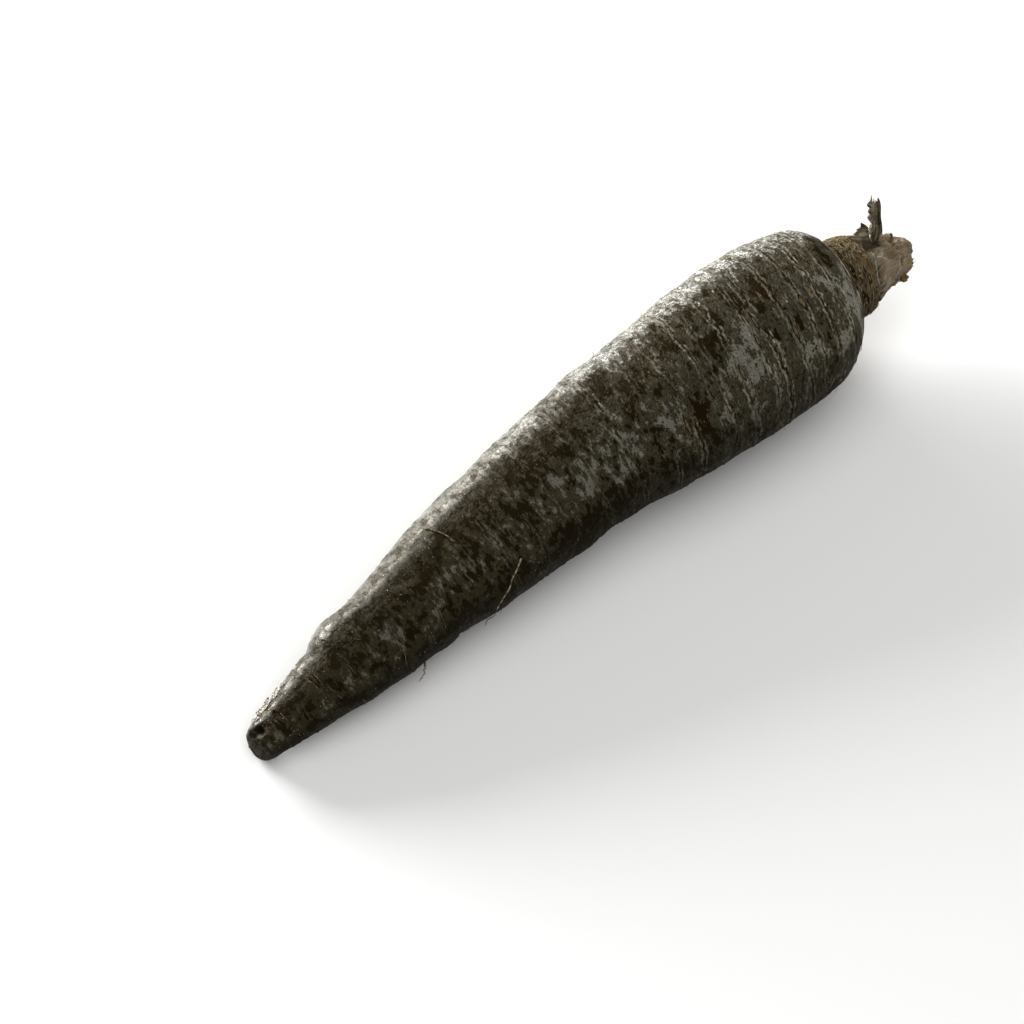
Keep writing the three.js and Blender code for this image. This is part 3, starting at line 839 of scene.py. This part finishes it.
neck_rings = [
    (along, smooth_line(crown_outline, along)) for along in (0, 0.8, 1.6, 2.5, 3.5, 4.5, 5.5, 6.5, 7.4, 8.2)
]
shelf_rings = [(8.8, 10.1), (9.1, 9.4), (9.1, 8.0), (9.1, 7.0)]
crown = extrude_rings(
    [(along * MM, radius * MM / SHRINKAGE)
     for along, radius in reversed(neck_rings + shelf_rings + core_outline)],
    CAGE_SIDES,
)
subdivide_smoothly(crown, SMOOTHING)
finish_crown(crown)
coat(crown, "crown_neck", crown_material())
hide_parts("crown")
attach(crown, "root")

# --- Leaf bases -----------------------------------------------------------------------
# Six dried scales, each the stump of one leaf's stalk, clasping the crown in two whorls.
# Each is thick down its middle and thin and pale at its edges, and torn at its top.

CLASP = math.radians(116)
LEAF_BASE_THICKNESS = 1.3
WHORL_DEPTH = LEAF_BASE_THICKNESS + SEAM
LEAF_BASE_FOOT = NECK_LENGTH + SEAM
# Degrees round the crown, whorl (1 is the inner), end, slant and rounding of its top.
leaf_bases = [
    (143, 0, 18.4, -2.2, 1.4), (263, 0, 20.8, 0.4, 2.4), (23, 0, 21.4, -0.8, 2.6),
    (203, 1, 22.8, -0.9, 1.2), (323, 1, CROWN_LENGTH, 0, 2.0), (83, 1, 24.2, 0.7, 1.2),
]


def make_plate(across, along, levels):
    """A plate of size 2 by 2 and 1 thick, with rounded edges, to be bent to its shape."""
    deselect_all()
    bpy.ops.mesh.primitive_grid_add(x_subdivisions=across, y_subdivisions=along, size=2)
    plate = bpy.context.object
    thickness = plate.modifiers.new("thickness", "SOLIDIFY")
    thickness.thickness = 1
    thickness.offset = 1
    bpy.ops.object.modifier_apply(modifier=thickness.name)
    subdivide_smoothly(plate, levels)
    return plate


def worn(along, angle):
    """How far the leaf bases are worn down at each place: most at one corner of the crown."""
    return 1.9 * ease(along, 16, 22) * fade(turn_between(angle, 45), 0.6)


# Hollows in the leaf bases, darkened with painted shade: along, degrees, length, turn, depth, and depth of
# the painted shade; the last one has painted shade and no dent.
leaf_hollows = [
    (11.8, 86, 1.7, 0.28, 0.9, 1), (18.6, 84, 1.2, 0.25, 0.54, 0.6),
    (14.4, 80, 1.4, 0.25, 0.54, 0.6), (13, 62, 2.2, 0.35, 0, 0.7),
]


def finish_leaf_base(plate, seed, degrees, whorl, end, slant, rounding):
    across, lengthwise, outward = mesh_points(plate).T
    share = (lengthwise + 1) / 2
    torn = np.stack([across * 9, across * 0 + seed * 7, across * 0], -1)
    top = end + slant * across - rounding * across**2
    top += 0.45 * lumps(torn, 2.5, 1) + 0.35 * lumps(torn, 0.9, 2) + 0.3 * lumps(torn, 0.4, 12)
    foot = LEAF_BASE_FOOT - 0.3 + 0.35 * lumps(torn, 2, 6) + 0.3 * lumps(torn, 0.7, 16)
    along = foot + share * (top - foot)
    outside = smooth_line(crown_outline, along) - whorl * 0.7 * ease(along, 12, 17)
    outside -= whorl * WHORL_DEPTH * (1 - ease(along, 12, 17))
    inside = np.maximum(outside - LEAF_BASE_THICKNESS, 1.6)
    thick = np.maximum(outside - inside, 0.7) * (1 - 0.45 * across**2)
    pressed = 0.9 * ease(np.abs(across), 0.7, 1.0)
    inside = inside - pressed * (1 - whorl)
    thick = thick - 0.3 * pressed
    angle = math.radians(degrees) + across * (CLASP / 2 + math.radians(5))
    wavy = lumps(np.stack([along, across * 0, across * 0 + seed], -1), 4, 8)
    angle += math.radians(4) * wavy * across**2
    breadth = outside * across * CLASP / 2
    straight = np.stack([along, breadth, outward + seed * 10], -1)
    edge = from_pale_edges(along, angle)
    relief = 0.12 * lumps(straight * [0.3, 1, 1], 0.9, 3) + 0.3 * lumps(straight, 4, 4)
    relief += 0.14 * lumps(straight, 1.1, 5) + 0.16 * fade(edge, 0.22)
    frayed = ease(top - along, 5, 0.5)
    relief += frayed * (0.35 * lumps(straight, 0.8, 15) + 0.25 * lumps(straight, 0.45, 25))
    hollow = np.zeros(len(along))
    for place, degrees_round, length, turn, depth, painted_shade_depth in leaf_hollows:
        dent = spot(along, angle, place, degrees_round, length, turn)
        relief -= depth * dent
        hollow += painted_shade_depth * dent
    relief -= worn(along, angle)
    radius = inside + outward * thick + relief * ease(outward, 0.2, 0.9)
    margin = (1 - np.abs(across)) * CLASP / 2 * outside
    store(plate, "grown", straight)
    store(plate, "marks", np.stack([edge, margin, top - along], -1))
    store(plate, "hollow", hollow)
    set_points(plate, on_crown(along, angle, radius))


def leaf_base_material():
    scale = Surface("leaf_base_scale")
    place = scale.stored("grown")
    from_edge, from_margin, from_top = scale.stored("marks").parts()
    grit = grain(place, 0.4, detail=2, seed=2)
    thread = grain(place, 0.8, (0.2, 1.4, 1), detail=3, roughness=0.6, seed=4)
    cloud = grain(place, 3.2, detail=3, roughness=0.6, seed=6)
    tint = grain(place, 2.2, detail=2, seed=8)
    shade = 0.7 * cloud + 0.35 * thread + 0.2 * grit
    colour = mix(step(shade, -0.8, 0.7), (0.18, 0.145, 0.1), (0.4, 0.33, 0.24))
    # The feet are stained with the brown of the neck that they grow out of.
    stained = step(place.parts()[0] + 0.9 * thread + cloud, 11.8, 9.0)
    brown = mix(step(thread, -0.5, 0.5), (0.05, 0.036, 0.016), (0.2, 0.15, 0.085))
    colour = mix(0.85 * stained, colour, brown)
    amber = 0.6 * step(tint, 0.0, 0.7) * step(from_top, 6, 1)
    colour = mix(amber, colour, (0.4, 0.27, 0.12))
    dust = step(tint - 0.4 * grit, -0.2, -0.9)
    colour = mix(0.5 * dust, colour, (0.22, 0.2, 0.16))
    margin = step(from_margin + 0.15 * grit, 0.4, 0.1) * step(cloud, -0.3, 0.4)
    pale = most(margin, step(from_edge + 0.1 * grit, 0.26, 0.08))
    colour = mix(0.75 * pale, colour, (0.5, 0.49, 0.4))
    specks = step(grain(place, 0.3, detail=1, seed=22), 0.35, 0.7)
    colour = mix(0.35 * specks, colour, (0.42, 0.4, 0.34))
    # Painted shade in the hollows, and darker at the torn tops.
    hollow = scale.stored("hollow", "Fac") + 0.2 * thread
    dark = most(step(from_top + 0.2 * grit, 0.3, 0.0), step(hollow, 0.25, 0.7))
    colour = mix(0.75 * dark, colour, (0.05, 0.035, 0.015))
    return scale.finish(colour, 0.7, 0.14 * thread + 0.16 * grit + 0.15 * cloud, IOR=1.35)


leaf_base_scale = leaf_base_material()
for number, leaf_base in enumerate(leaf_bases, start=1):
    plate = make_plate(16, 12, 2)
    finish_leaf_base(plate, number, *leaf_base)
    coat(plate, f"leaf_scale_{number}", leaf_base_scale)
    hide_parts(f"leaf_base_{number}")
    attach(plate, "root")

# --- Dry leaf stalk -------------------------------------------------------------------
# One leaf's stalk is still standing: withered flat, ribbed along its length, pointed at
# its foot, ragged down one side and frayed into splinters where it was torn off.

STALK_LENGTH = 11.6
STALK_WIDTH = 3.2
STALK_THICKNESS = 0.6 * STALK_WIDTH
STALK_FACING = np.array([-0.35, -0.4, 0.85])
STALK_ALONG, STALK_ROUND = 14.4, math.radians(86)
stalk_seat = smooth_line(crown_outline, STALK_ALONG) + SEAM + 0.3 * STALK_THICKNESS
stalk_foot = on_crown(STALK_ALONG, STALK_ROUND, stalk_seat) / MM
# Each bend as shares of the length, and how far it is pressed in between the leaf bases.
stalk_path = [stalk_foot + [-1.1, 0.1, -0.3] - 3.3 * STALK_FACING] + [
    stalk_foot + STALK_LENGTH * np.array(bend) - sunk * STALK_FACING
    for bend, sunk in (((0.07, 0.14, 0.22), 2.1), ((0.2, 0.34, 0.5), 0.8), ((0.33, 0.55, 0.76), 0))
]
stalk_widths = [(0, 0.25), (0.1, 0.7), (0.2, 1.05), (0.4, 1.0), (0.6, 0.88), (0.85, 1.0), (1, 0.75)]


def along_path(path, share, across, outward, facing):
    """Places beside a path: a share of the way along it, then sideways and outwards."""
    path = np.array(path, float)
    shares = np.linspace(0, 1, len(path))
    forward = unit(smooth_path(path, shares, share, slope=True))
    beyond = (share - np.clip(share, 0, 1)) * STALK_LENGTH
    middle = smooth_path(path, shares, share) + forward * beyond[:, None]
    out = unit(facing - forward * (forward @ facing)[:, None])
    return middle + np.cross(forward, out) * across[:, None] + out * outward[:, None]


def finish_stalk(plate):
    across, lengthwise, outward = mesh_points(plate).T
    share = (lengthwise + 1) / 2
    strand = np.stack([across * 2.4, share * 2.2, across * 0], -1)
    teeth = 0.09 * lumps(strand * [1, 0, 0], 0.8, 3) + 0.05 * lumps(strand * [1, 0, 0], 0.35, 7)
    share = share * (0.95 + teeth * ease(share, 0.6, 1))
    width = smooth_line(stalk_widths, share) * STALK_WIDTH / 2
    torn_side = ease(-across, 0.1, 1) * ease(share, 0.15, 0.4)
    ragged = 1 + (0.16 + 0.5 * lumps(strand * [0.3, 1, 0], 0.2, 9)) * torn_side
    ribs = 0.22 * np.cos(across * 9 + 0.5 * np.sin(share * 6)) + 0.2 * lumps(strand * [1.4, 0.5, 1], 0.5, 5)
    rounding = 1 - 0.55 * across**2
    thick = STALK_THICKNESS * rounding * np.minimum(width / (STALK_WIDTH / 2), 1)
    spread = 0.25 * lumps(strand * [1, 0, 0], 0.5, 21) * ease(share, 0.7, 1.0)
    out = (outward - 0.5) * thick * (1 - 0.45 * ease(share, 0.75, 1)) + spread
    out += ribs * (1 - share * 0.2) * np.sign(outward - 0.5) * 0.8
    store(plate, "grown", np.stack([across * width, share * STALK_LENGTH, outward], -1))
    store(plate, "pale_rim", ease(np.abs(across), 0.6, 0.8) * ease(share, 0.34, 0.26))
    set_points(plate, along_path(stalk_path, share, across * width * ragged, out, STALK_FACING) * MM)


def dry_leaf_material():
    dry = Surface("dry_leaf")
    place = dry.stored("grown")
    thread = grain(place, 0.7, (1.7, 0.2, 0.6), detail=3, roughness=0.6, seed=1)
    grit = grain(place, 0.35, detail=2, seed=5)
    side = step(place.parts()[0] + 0.4 * thread, 0.5, -0.3)
    shade = step(thread + 0.4 * grit, -0.7, 0.7)
    dark = mix(shade, (0.04, 0.03, 0.012), (0.2, 0.16, 0.1))
    light = mix(shade, (0.1, 0.085, 0.055), (0.4, 0.36, 0.28))
    colour = mix(side, dark, light)
    rim = step(dry.stored("pale_rim", "Fac") + 0.3 * grit, 0.3, 0.6)
    colour = mix(0.8 * rim, colour, (0.46, 0.44, 0.36))
    specks = step(grain(place, 0.3, detail=1, seed=22), 0.3, 0.7)
    colour = mix(0.4 * specks, colour, (0.5, 0.47, 0.4))
    return dry.finish(colour, 0.75, 0.1 * thread + 0.04 * grit, IOR=1.35)


dry_leaf = dry_leaf_material()
stalk = make_plate(14, 30, 2)
finish_stalk(stalk)
coat(stalk, "stalk", dry_leaf)
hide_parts("dry_leaf_stalk")
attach(stalk, "root")

# --- Dry leaf sheath ------------------------------------------------------------------
# The torn sheath of an old leaf: a withered three-cornered flake on the third leaf base
# that thins and curls over towards its free edge.

SHEATH_LENGTH = 5.6
SHEATH_HEIGHT = 2.6
SHEATH_THICKNESS = 1.1
SHEATH_ALONG, SHEATH_ROUND = 13.6, math.radians(40)


def finish_sheath(plate):
    lengthwise, height_share, outward = mesh_points(plate).T
    lengthwise, up = lengthwise / 2, (height_share + 1) / 2
    torn = np.stack([lengthwise * 9, up * 5, up * 0], -1)
    along = SHEATH_ALONG + lengthwise * (SHEATH_LENGTH - 1.6 * up)
    height = SHEATH_HEIGHT * up
    height *= np.interp(lengthwise, [-0.5, -0.15, 0.2, 0.5], [0.1, 0.55, 0.95, 0.75])
    height *= 1 + 0.22 * lumps(torn * [1, 0, 0], 1.2, 3)
    height += 0.7 * ease(up, 0.6, 1) * fade(lengthwise - 0.22, 0.07)
    radius = smooth_line(crown_outline, along) + SEAM + height - SHEATH_THICKNESS * (1 - up) ** 2
    thick = SHEATH_THICKNESS * (1 - 0.6 * up) * (1 + 1.6 * (1 - up) ** 2)
    curl = 0.5 * up**2 + 0.4 * lumps(torn, 2.2, 8) * up
    angle = SHEATH_ROUND + ((outward - 0.5) * thick + curl) / radius
    store(plate, "grown", np.stack([height - 1.4, along * 1.5, outward], -1))
    set_points(plate, on_crown(along, angle, radius))


sheath = make_plate(14, 10, 2)
finish_sheath(sheath)
coat(sheath, "sheath", dry_leaf)
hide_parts("dry_leaf_sheath")
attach(sheath, "root")

# --- Side bud -------------------------------------------------------------------------
# A small dried nodule of ochre, corky tissue, fixed to the outside of a leaf base of the
# inner whorl, just past the torn end of an outer one.

BUD_RADIUS = 1.05
BUD_ALONG, BUD_ROUND = 18.9, math.radians(195)


def bud_material():
    cork = Surface("bud_cork")
    corky = grain(cork.stored("grown"), 0.5, detail=3, roughness=0.6, seed=1)
    colour = mix(step(corky, -0.6, 0.6), (0.09, 0.055, 0.02), (0.36, 0.26, 0.12))
    return cork.finish(colour, 0.8, 0.12 * corky, IOR=1.35)


deselect_all()
bpy.ops.mesh.primitive_ico_sphere_add(subdivisions=5, radius=1)
bud = bpy.context.object
directions = unit(mesh_points(bud))
swell = 1 + 0.22 * lumps(directions, 0.55, 4) + 0.1 * lumps(directions, 0.22, 6)
bud_seat = smooth_line(crown_outline, BUD_ALONG) - WHORL_DEPTH + SEAM + BUD_RADIUS
bud_middle = on_crown(BUD_ALONG, BUD_ROUND, bud_seat) / MM
bud_size = np.array([1.15, 0.95, 0.9]) * BUD_RADIUS
store(bud, "grown", directions * BUD_RADIUS)
set_points(bud, (bud_middle + directions * bud_size * swell[:, None] * 0.97) * MM)
coat(bud, "bud", bud_material())
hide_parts("side_bud")
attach(bud, "root")

# --- Crown fibres ---------------------------------------------------------------------
# Loose brown fibres of the old stem and leaves: short stiff threads that lie round the
# neck, and frayed ones that stick out of the torn tops of the leaf bases.

LYING_FIBRES = 220
FRAYED_FIBRES = 60
FIBRE_RADIUS = 0.1


def make_threads(name, paths, radius, sides=5, steps=8):
    """One piece of many thin threads, each tapering along its own path, in millimetres."""
    turns = np.arange(sides) * 2 * math.pi / sides
    ring = np.stack([np.cos(turns), np.sin(turns)], -1)
    share = np.linspace(0, 1, steps + 1)
    thick = radius * np.interp(share, [0, 0.5, 1], [1.1, 0.9, 0.3])[:, None, None]
    points, faces = [], []
    for path in paths:
        path = np.array(path, float)
        middle = smooth_path(path, np.linspace(0, 1, len(path)), share)
        forward = unit(np.gradient(middle, axis=0))
        side = unit(np.cross(forward, (0.3, 0.5, 0.8)))
        out = np.cross(forward, side)
        start = sum(len(part) for part in points)
        round_it = side[:, None] * ring[None, :, :1] + out[:, None] * ring[None, :, 1:]
        points.append((middle[:, None] + round_it * thick).reshape(-1, 3))
        for low in range(start, start + steps * sides, sides):
            for k in range(sides):
                following = (k + 1) % sides
                faces.append((low + k, low + following, low + sides + following, low + sides + k))
        faces.append(tuple(start + k for k in reversed(range(sides))))
        faces.append(tuple(start + steps * sides + k for k in range(sides)))
    mesh = bpy.data.meshes.new(name)
    mesh.from_pydata((np.concatenate(points) * MM).tolist(), [], faces)
    threads = bpy.data.objects.new(name, mesh)
    bpy.context.scene.collection.objects.link(threads)
    deselect_all()
    threads.select_set(True)
    bpy.context.view_layer.objects.active = threads
    bpy.ops.object.mode_set(mode="EDIT")
    bpy.ops.mesh.select_all(action="SELECT")
    bpy.ops.mesh.normals_make_consistent(inside=False)
    bpy.ops.object.mode_set(mode="OBJECT")
    bpy.ops.object.shade_smooth()
    store(threads, "grown", np.concatenate(points))
    return threads


def crown_strand(along, degrees, length, climb, lift):
    """A path round the crown from a place, as long and as far off it as asked."""
    t = np.linspace(0, 1, 5)
    on_to = along + climb * t + dice.uniform(-0.3, 0.3) * np.sin(t * 5)
    radius = smooth_line(crown_outline, on_to)
    turn = math.radians(degrees) + length * t / radius
    return on_crown(on_to, turn, radius + lift * t**2 + 0.02) / MM


strands = []
for _ in range(LYING_FIBRES):
    strands.append(crown_strand(
        dice.uniform(1.6, 9.2), dice.uniform(0, 360), dice.choice((-1, 1)) * dice.uniform(1.2, 4.5),
        dice.uniform(-1, 1), dice.uniform(0, 0.45),
    ))
for _ in range(FRAYED_FIBRES):
    degrees, whorl, end, slant, rounding = dice.choice(leaf_bases)
    across = dice.uniform(-0.9, 0.9)
    top = end + slant * across - rounding * across**2
    t = np.linspace(0, 1, 4)
    on_to = top - 0.7 + dice.uniform(0.7, 1.3) * t
    radius = smooth_line(crown_outline, np.minimum(on_to, top)) - whorl * 0.7 - 0.3
    turn = math.radians(degrees) + across * CLASP / 2 + dice.uniform(-0.8, 0.8) * t / radius
    radius = radius - worn(on_to, turn) + dice.uniform(-0.2, 0.5) * t
    strands.append(on_crown(on_to, turn, radius) / MM)


def thread_material(name, low, high):
    hair = Surface(name)
    tint = grain(hair.stored("grown"), 0.9, detail=2, seed=1)
    return hair.finish(mix(step(tint, -0.6, 0.6), low, high), 0.7, IOR=1.35)


crown_fibres = make_threads("crown_fibres", strands, FIBRE_RADIUS)
crown_fibres.data.materials.append(thread_material("brown_fibre", (0.06, 0.045, 0.02), (0.4, 0.31, 0.19)))
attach(crown_fibres, "root")

# --- Rootlets -------------------------------------------------------------------------
# Four dried hair roots that still hang on the skin: stiff, thin and tapering, with kinks.
# Each is rooted just under the skin and then lies along it or stands off it.

ROOTLET_RADIUS = 0.26
# Each along a few points: the distance along, the degrees round and how far off the skin.
rootlets = [
    [(79, 148, -0.7), (73, 160, 0.5), (67, 176, 0.9), (63, 190, 1.4)],
    [(46, 205, -0.7), (44.5, 208, 1.2), (42, 209, 2.4)],
    [(9, 70, -0.7), (6.5, 62, 0.9), (3.5, 58, 1.2)],
    [(112, 318, -0.7), (107, 308, 0.9), (102, 312, 1.9), (98, 322, 2.2)],
]


def bend_thread(thread, path, radius, seed):
    """Bends a straight thread from X 0 to 1 along a path and thins it towards its end."""
    points = mesh_points(thread)
    share, out = points[:, 0], points[:, 1:]
    thickness = radius * (1.1 - 0.7 * share) * (1 + 0.18 * np.sin(share * 31 + seed))
    sag = np.stack([share * 6, share * 0 + seed, share * 0], -1)
    across = out[:, 0] * thickness + radius * 1.2 * lumps(sag, 1.0, 2) * ease(share, 0, 0.3)
    outward = out[:, 1] * thickness + radius * 1.2 * lumps(sag, 1.0, 5) * ease(share, 0, 0.3)
    facing = np.array([0.1, 0.3, 1.0])
    return along_path(path, share, across, outward, facing) * MM


dry_fibre = thread_material("dry_fibre", (0.12, 0.09, 0.055), (0.4, 0.34, 0.25))
for number, route in enumerate(rootlets, start=1):
    thread = extrude_rings([(x, 1.0) for x in np.linspace(0, 1, 26)], 8)
    turns = [math.radians(degrees) for _, degrees, _ in route]
    places = [along for along, _, _ in route]
    lifts = [0.3 + ROOTLET_RADIUS + off for _, _, off in route]
    path = on_root(places, turns, root_radius(np.array(places), np.array(turns)) + lifts) / MM
    bent = bend_thread(thread, path, ROOTLET_RADIUS, number)
    store(thread, "grown", bent / MM)
    set_points(thread, bent)
    coat(thread, f"hair_root_{number}", dry_fibre)
    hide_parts(f"rootlet_{number}")
    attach(thread, "root")

# --- Fine hairs -----------------------------------------------------------------------
# Dried root hairs, thin as thread, that still cling to the skin along its rings; a few
# of them stand off it.

HAIRS = 130
HAIR_RADIUS = 0.07
hair_paths = []
for _ in range(HAIRS):
    along, degrees = dice.choice(RINGS) + dice.gauss(0, 1.2), dice.uniform(0, 360)
    length = dice.choice((1.5, 2.5, 2.5, 4, 6)) * dice.uniform(0.7, 1.3)
    lift = dice.choice((0.1, 0.15, 0.3, 1.0)) * dice.uniform(0.3, 1)
    t = np.linspace(0, 1, 5)
    on_to = np.clip(along + length * dice.uniform(-0.45, 0.45) * t + 0.2 * np.sin(4 * t + degrees), 9, 190)
    turn = math.radians(degrees) + dice.choice((-1, 1)) * length * t / root_radius(on_to, t * 0)
    off = root_radius(on_to, turn) + lift * t**1.5 + 0.05
    hair_paths.append(np.maximum(on_root(on_to, turn, off) / MM, [-999, -999, 0.1]))
# The longest lies across the upper flank, a bundle of three that frays apart at its end.
for fray in (-0.12, 0, 0.12):
    on_to = np.array([66.6, 67.6, 68.4, 68.6, 68.2]) + fray * np.array([1, 1, 1, 2, 4])
    turn = np.radians([58, 70, 82, 93, 101])
    hair_paths.append(on_root(on_to, turn, root_radius(on_to, turn) + 0.15 + abs(fray)) / MM)
fine_hairs = make_threads("fine_hairs", hair_paths, HAIR_RADIUS)
fine_hairs.data.materials.append(thread_material("root_hair", (0.1, 0.075, 0.045), (0.36, 0.29, 0.2)))
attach(fine_hairs, "root")

# --- Torn skin ------------------------------------------------------------------------
# Papery flakes of dead skin, pale and curled, that peel off one flank near the tip. Each
# is still fixed along one edge.


def finish_flake(plate, along, degrees, size, curl, seed):
    across, lengthwise, outward = mesh_points(plate).T
    torn = np.stack([across * 1.5, lengthwise * 1.5, across * 0 + seed], -1)
    reach = size * (1 + 0.45 * lumps(torn, 0.7, 3))
    on_to = along + reach * lengthwise * 0.8
    away = (across + 1) / 2
    lift = 0.05 + curl * size * away**2 + 0.12 * (outward - 0.5) + 0.12 * lumps(torn, 0.6, 5)
    turn = math.radians(degrees) - reach * (across + 1) / np.maximum(root_radius(on_to, across * 0), 3)
    store(plate, "grown", torn)
    set_points(plate, on_root(on_to, turn, root_radius(on_to, turn) + lift))


def torn_skin_material():
    paper = Surface("torn_skin")
    papery = grain(paper.stored("grown"), 0.5, detail=3, roughness=0.6, seed=1)
    colour = mix(step(papery, -0.5, 0.7), (0.25, 0.23, 0.19), (0.8, 0.78, 0.72))
    return paper.finish(colour, 0.6, 0.08 * papery, IOR=1.4)


torn_skin = torn_skin_material()
flakes = [
    (4.2, 44, 0.9, 0.6), (6.3, 36, 1.1, 0.8), (8.0, 42, 1.3, 0.5), (9.8, 34, 1.2, 0.9),
    (11.6, 44, 0.8, 0.6), (13.0, 36, 1.2, 0.5), (15.2, 42, 0.7, 0.5), (20.0, 42, 0.8, 0.3),
]
for number, (along, degrees, size, curl) in enumerate(flakes, start=1):
    plate = make_plate(6, 6, 1)
    finish_flake(plate, along, degrees, size, curl, number)
    coat(plate, f"skin_flake_{number}", torn_skin)
    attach(plate, "root")

# --- Studio ---------------------------------------------------------------------------
# The root lies on a plain pale floor. A wide soft panel hangs over it, and a smaller lamp
# stands low behind it, so that its far flank shines. The camera looks down on its side.

AIM = Vector((-0.02055, 0.0055, 0.015))
AZIMUTH, ELEVATION = math.radians(-41.5), math.radians(58)
DISTANCE = 1.0821

back = Vector((
    math.sin(AZIMUTH) * math.cos(ELEVATION),
    -math.cos(AZIMUTH) * math.cos(ELEVATION),
    math.sin(ELEVATION),
))
camera = bpy.data.objects.new("camera", bpy.data.cameras.new("camera"))
bpy.context.scene.collection.objects.link(camera)
camera.location = AIM + back * DISTANCE
camera.rotation_euler = back.to_track_quat("Z", "Y").to_euler()
camera.data.lens = 150
camera.data.sensor_width = 36
bpy.context.scene.camera = camera

deselect_all()
bpy.ops.mesh.primitive_plane_add(size=6)
floor = bpy.context.object
floor.name = "floor"
floor.data.materials.append(Surface("floor").finish((0.92, 0.92, 0.91), 0.9))


def add_lamp(name, towards, distance, size, power):
    light = bpy.data.lights.new(name, "AREA")
    light.shape = "DISK"
    light.size = size
    light.energy = power
    lamp = bpy.data.objects.new(name, light)
    bpy.context.scene.collection.objects.link(lamp)
    direction = Vector(towards).normalized()
    lamp.location = direction * distance
    lamp.rotation_euler = direction.to_track_quat("Z", "Y").to_euler()


add_lamp("key", (-0.1, 0.97, 0.2), 1.2, 0.8, 24)
add_lamp("panel", (0, -0.3, 0.95), 1.3, 2.4, 12)
world = bpy.data.worlds.new("studio")
bpy.context.scene.world = world
world.use_nodes = True
sky = world.node_tree.nodes["Background"]
sky.inputs["Color"].default_value = (1, 1, 1, 1)
sky.inputs["Strength"].default_value = 0.17
view = bpy.context.scene.view_settings
view.view_transform = "Standard"
view.look = "High Contrast"
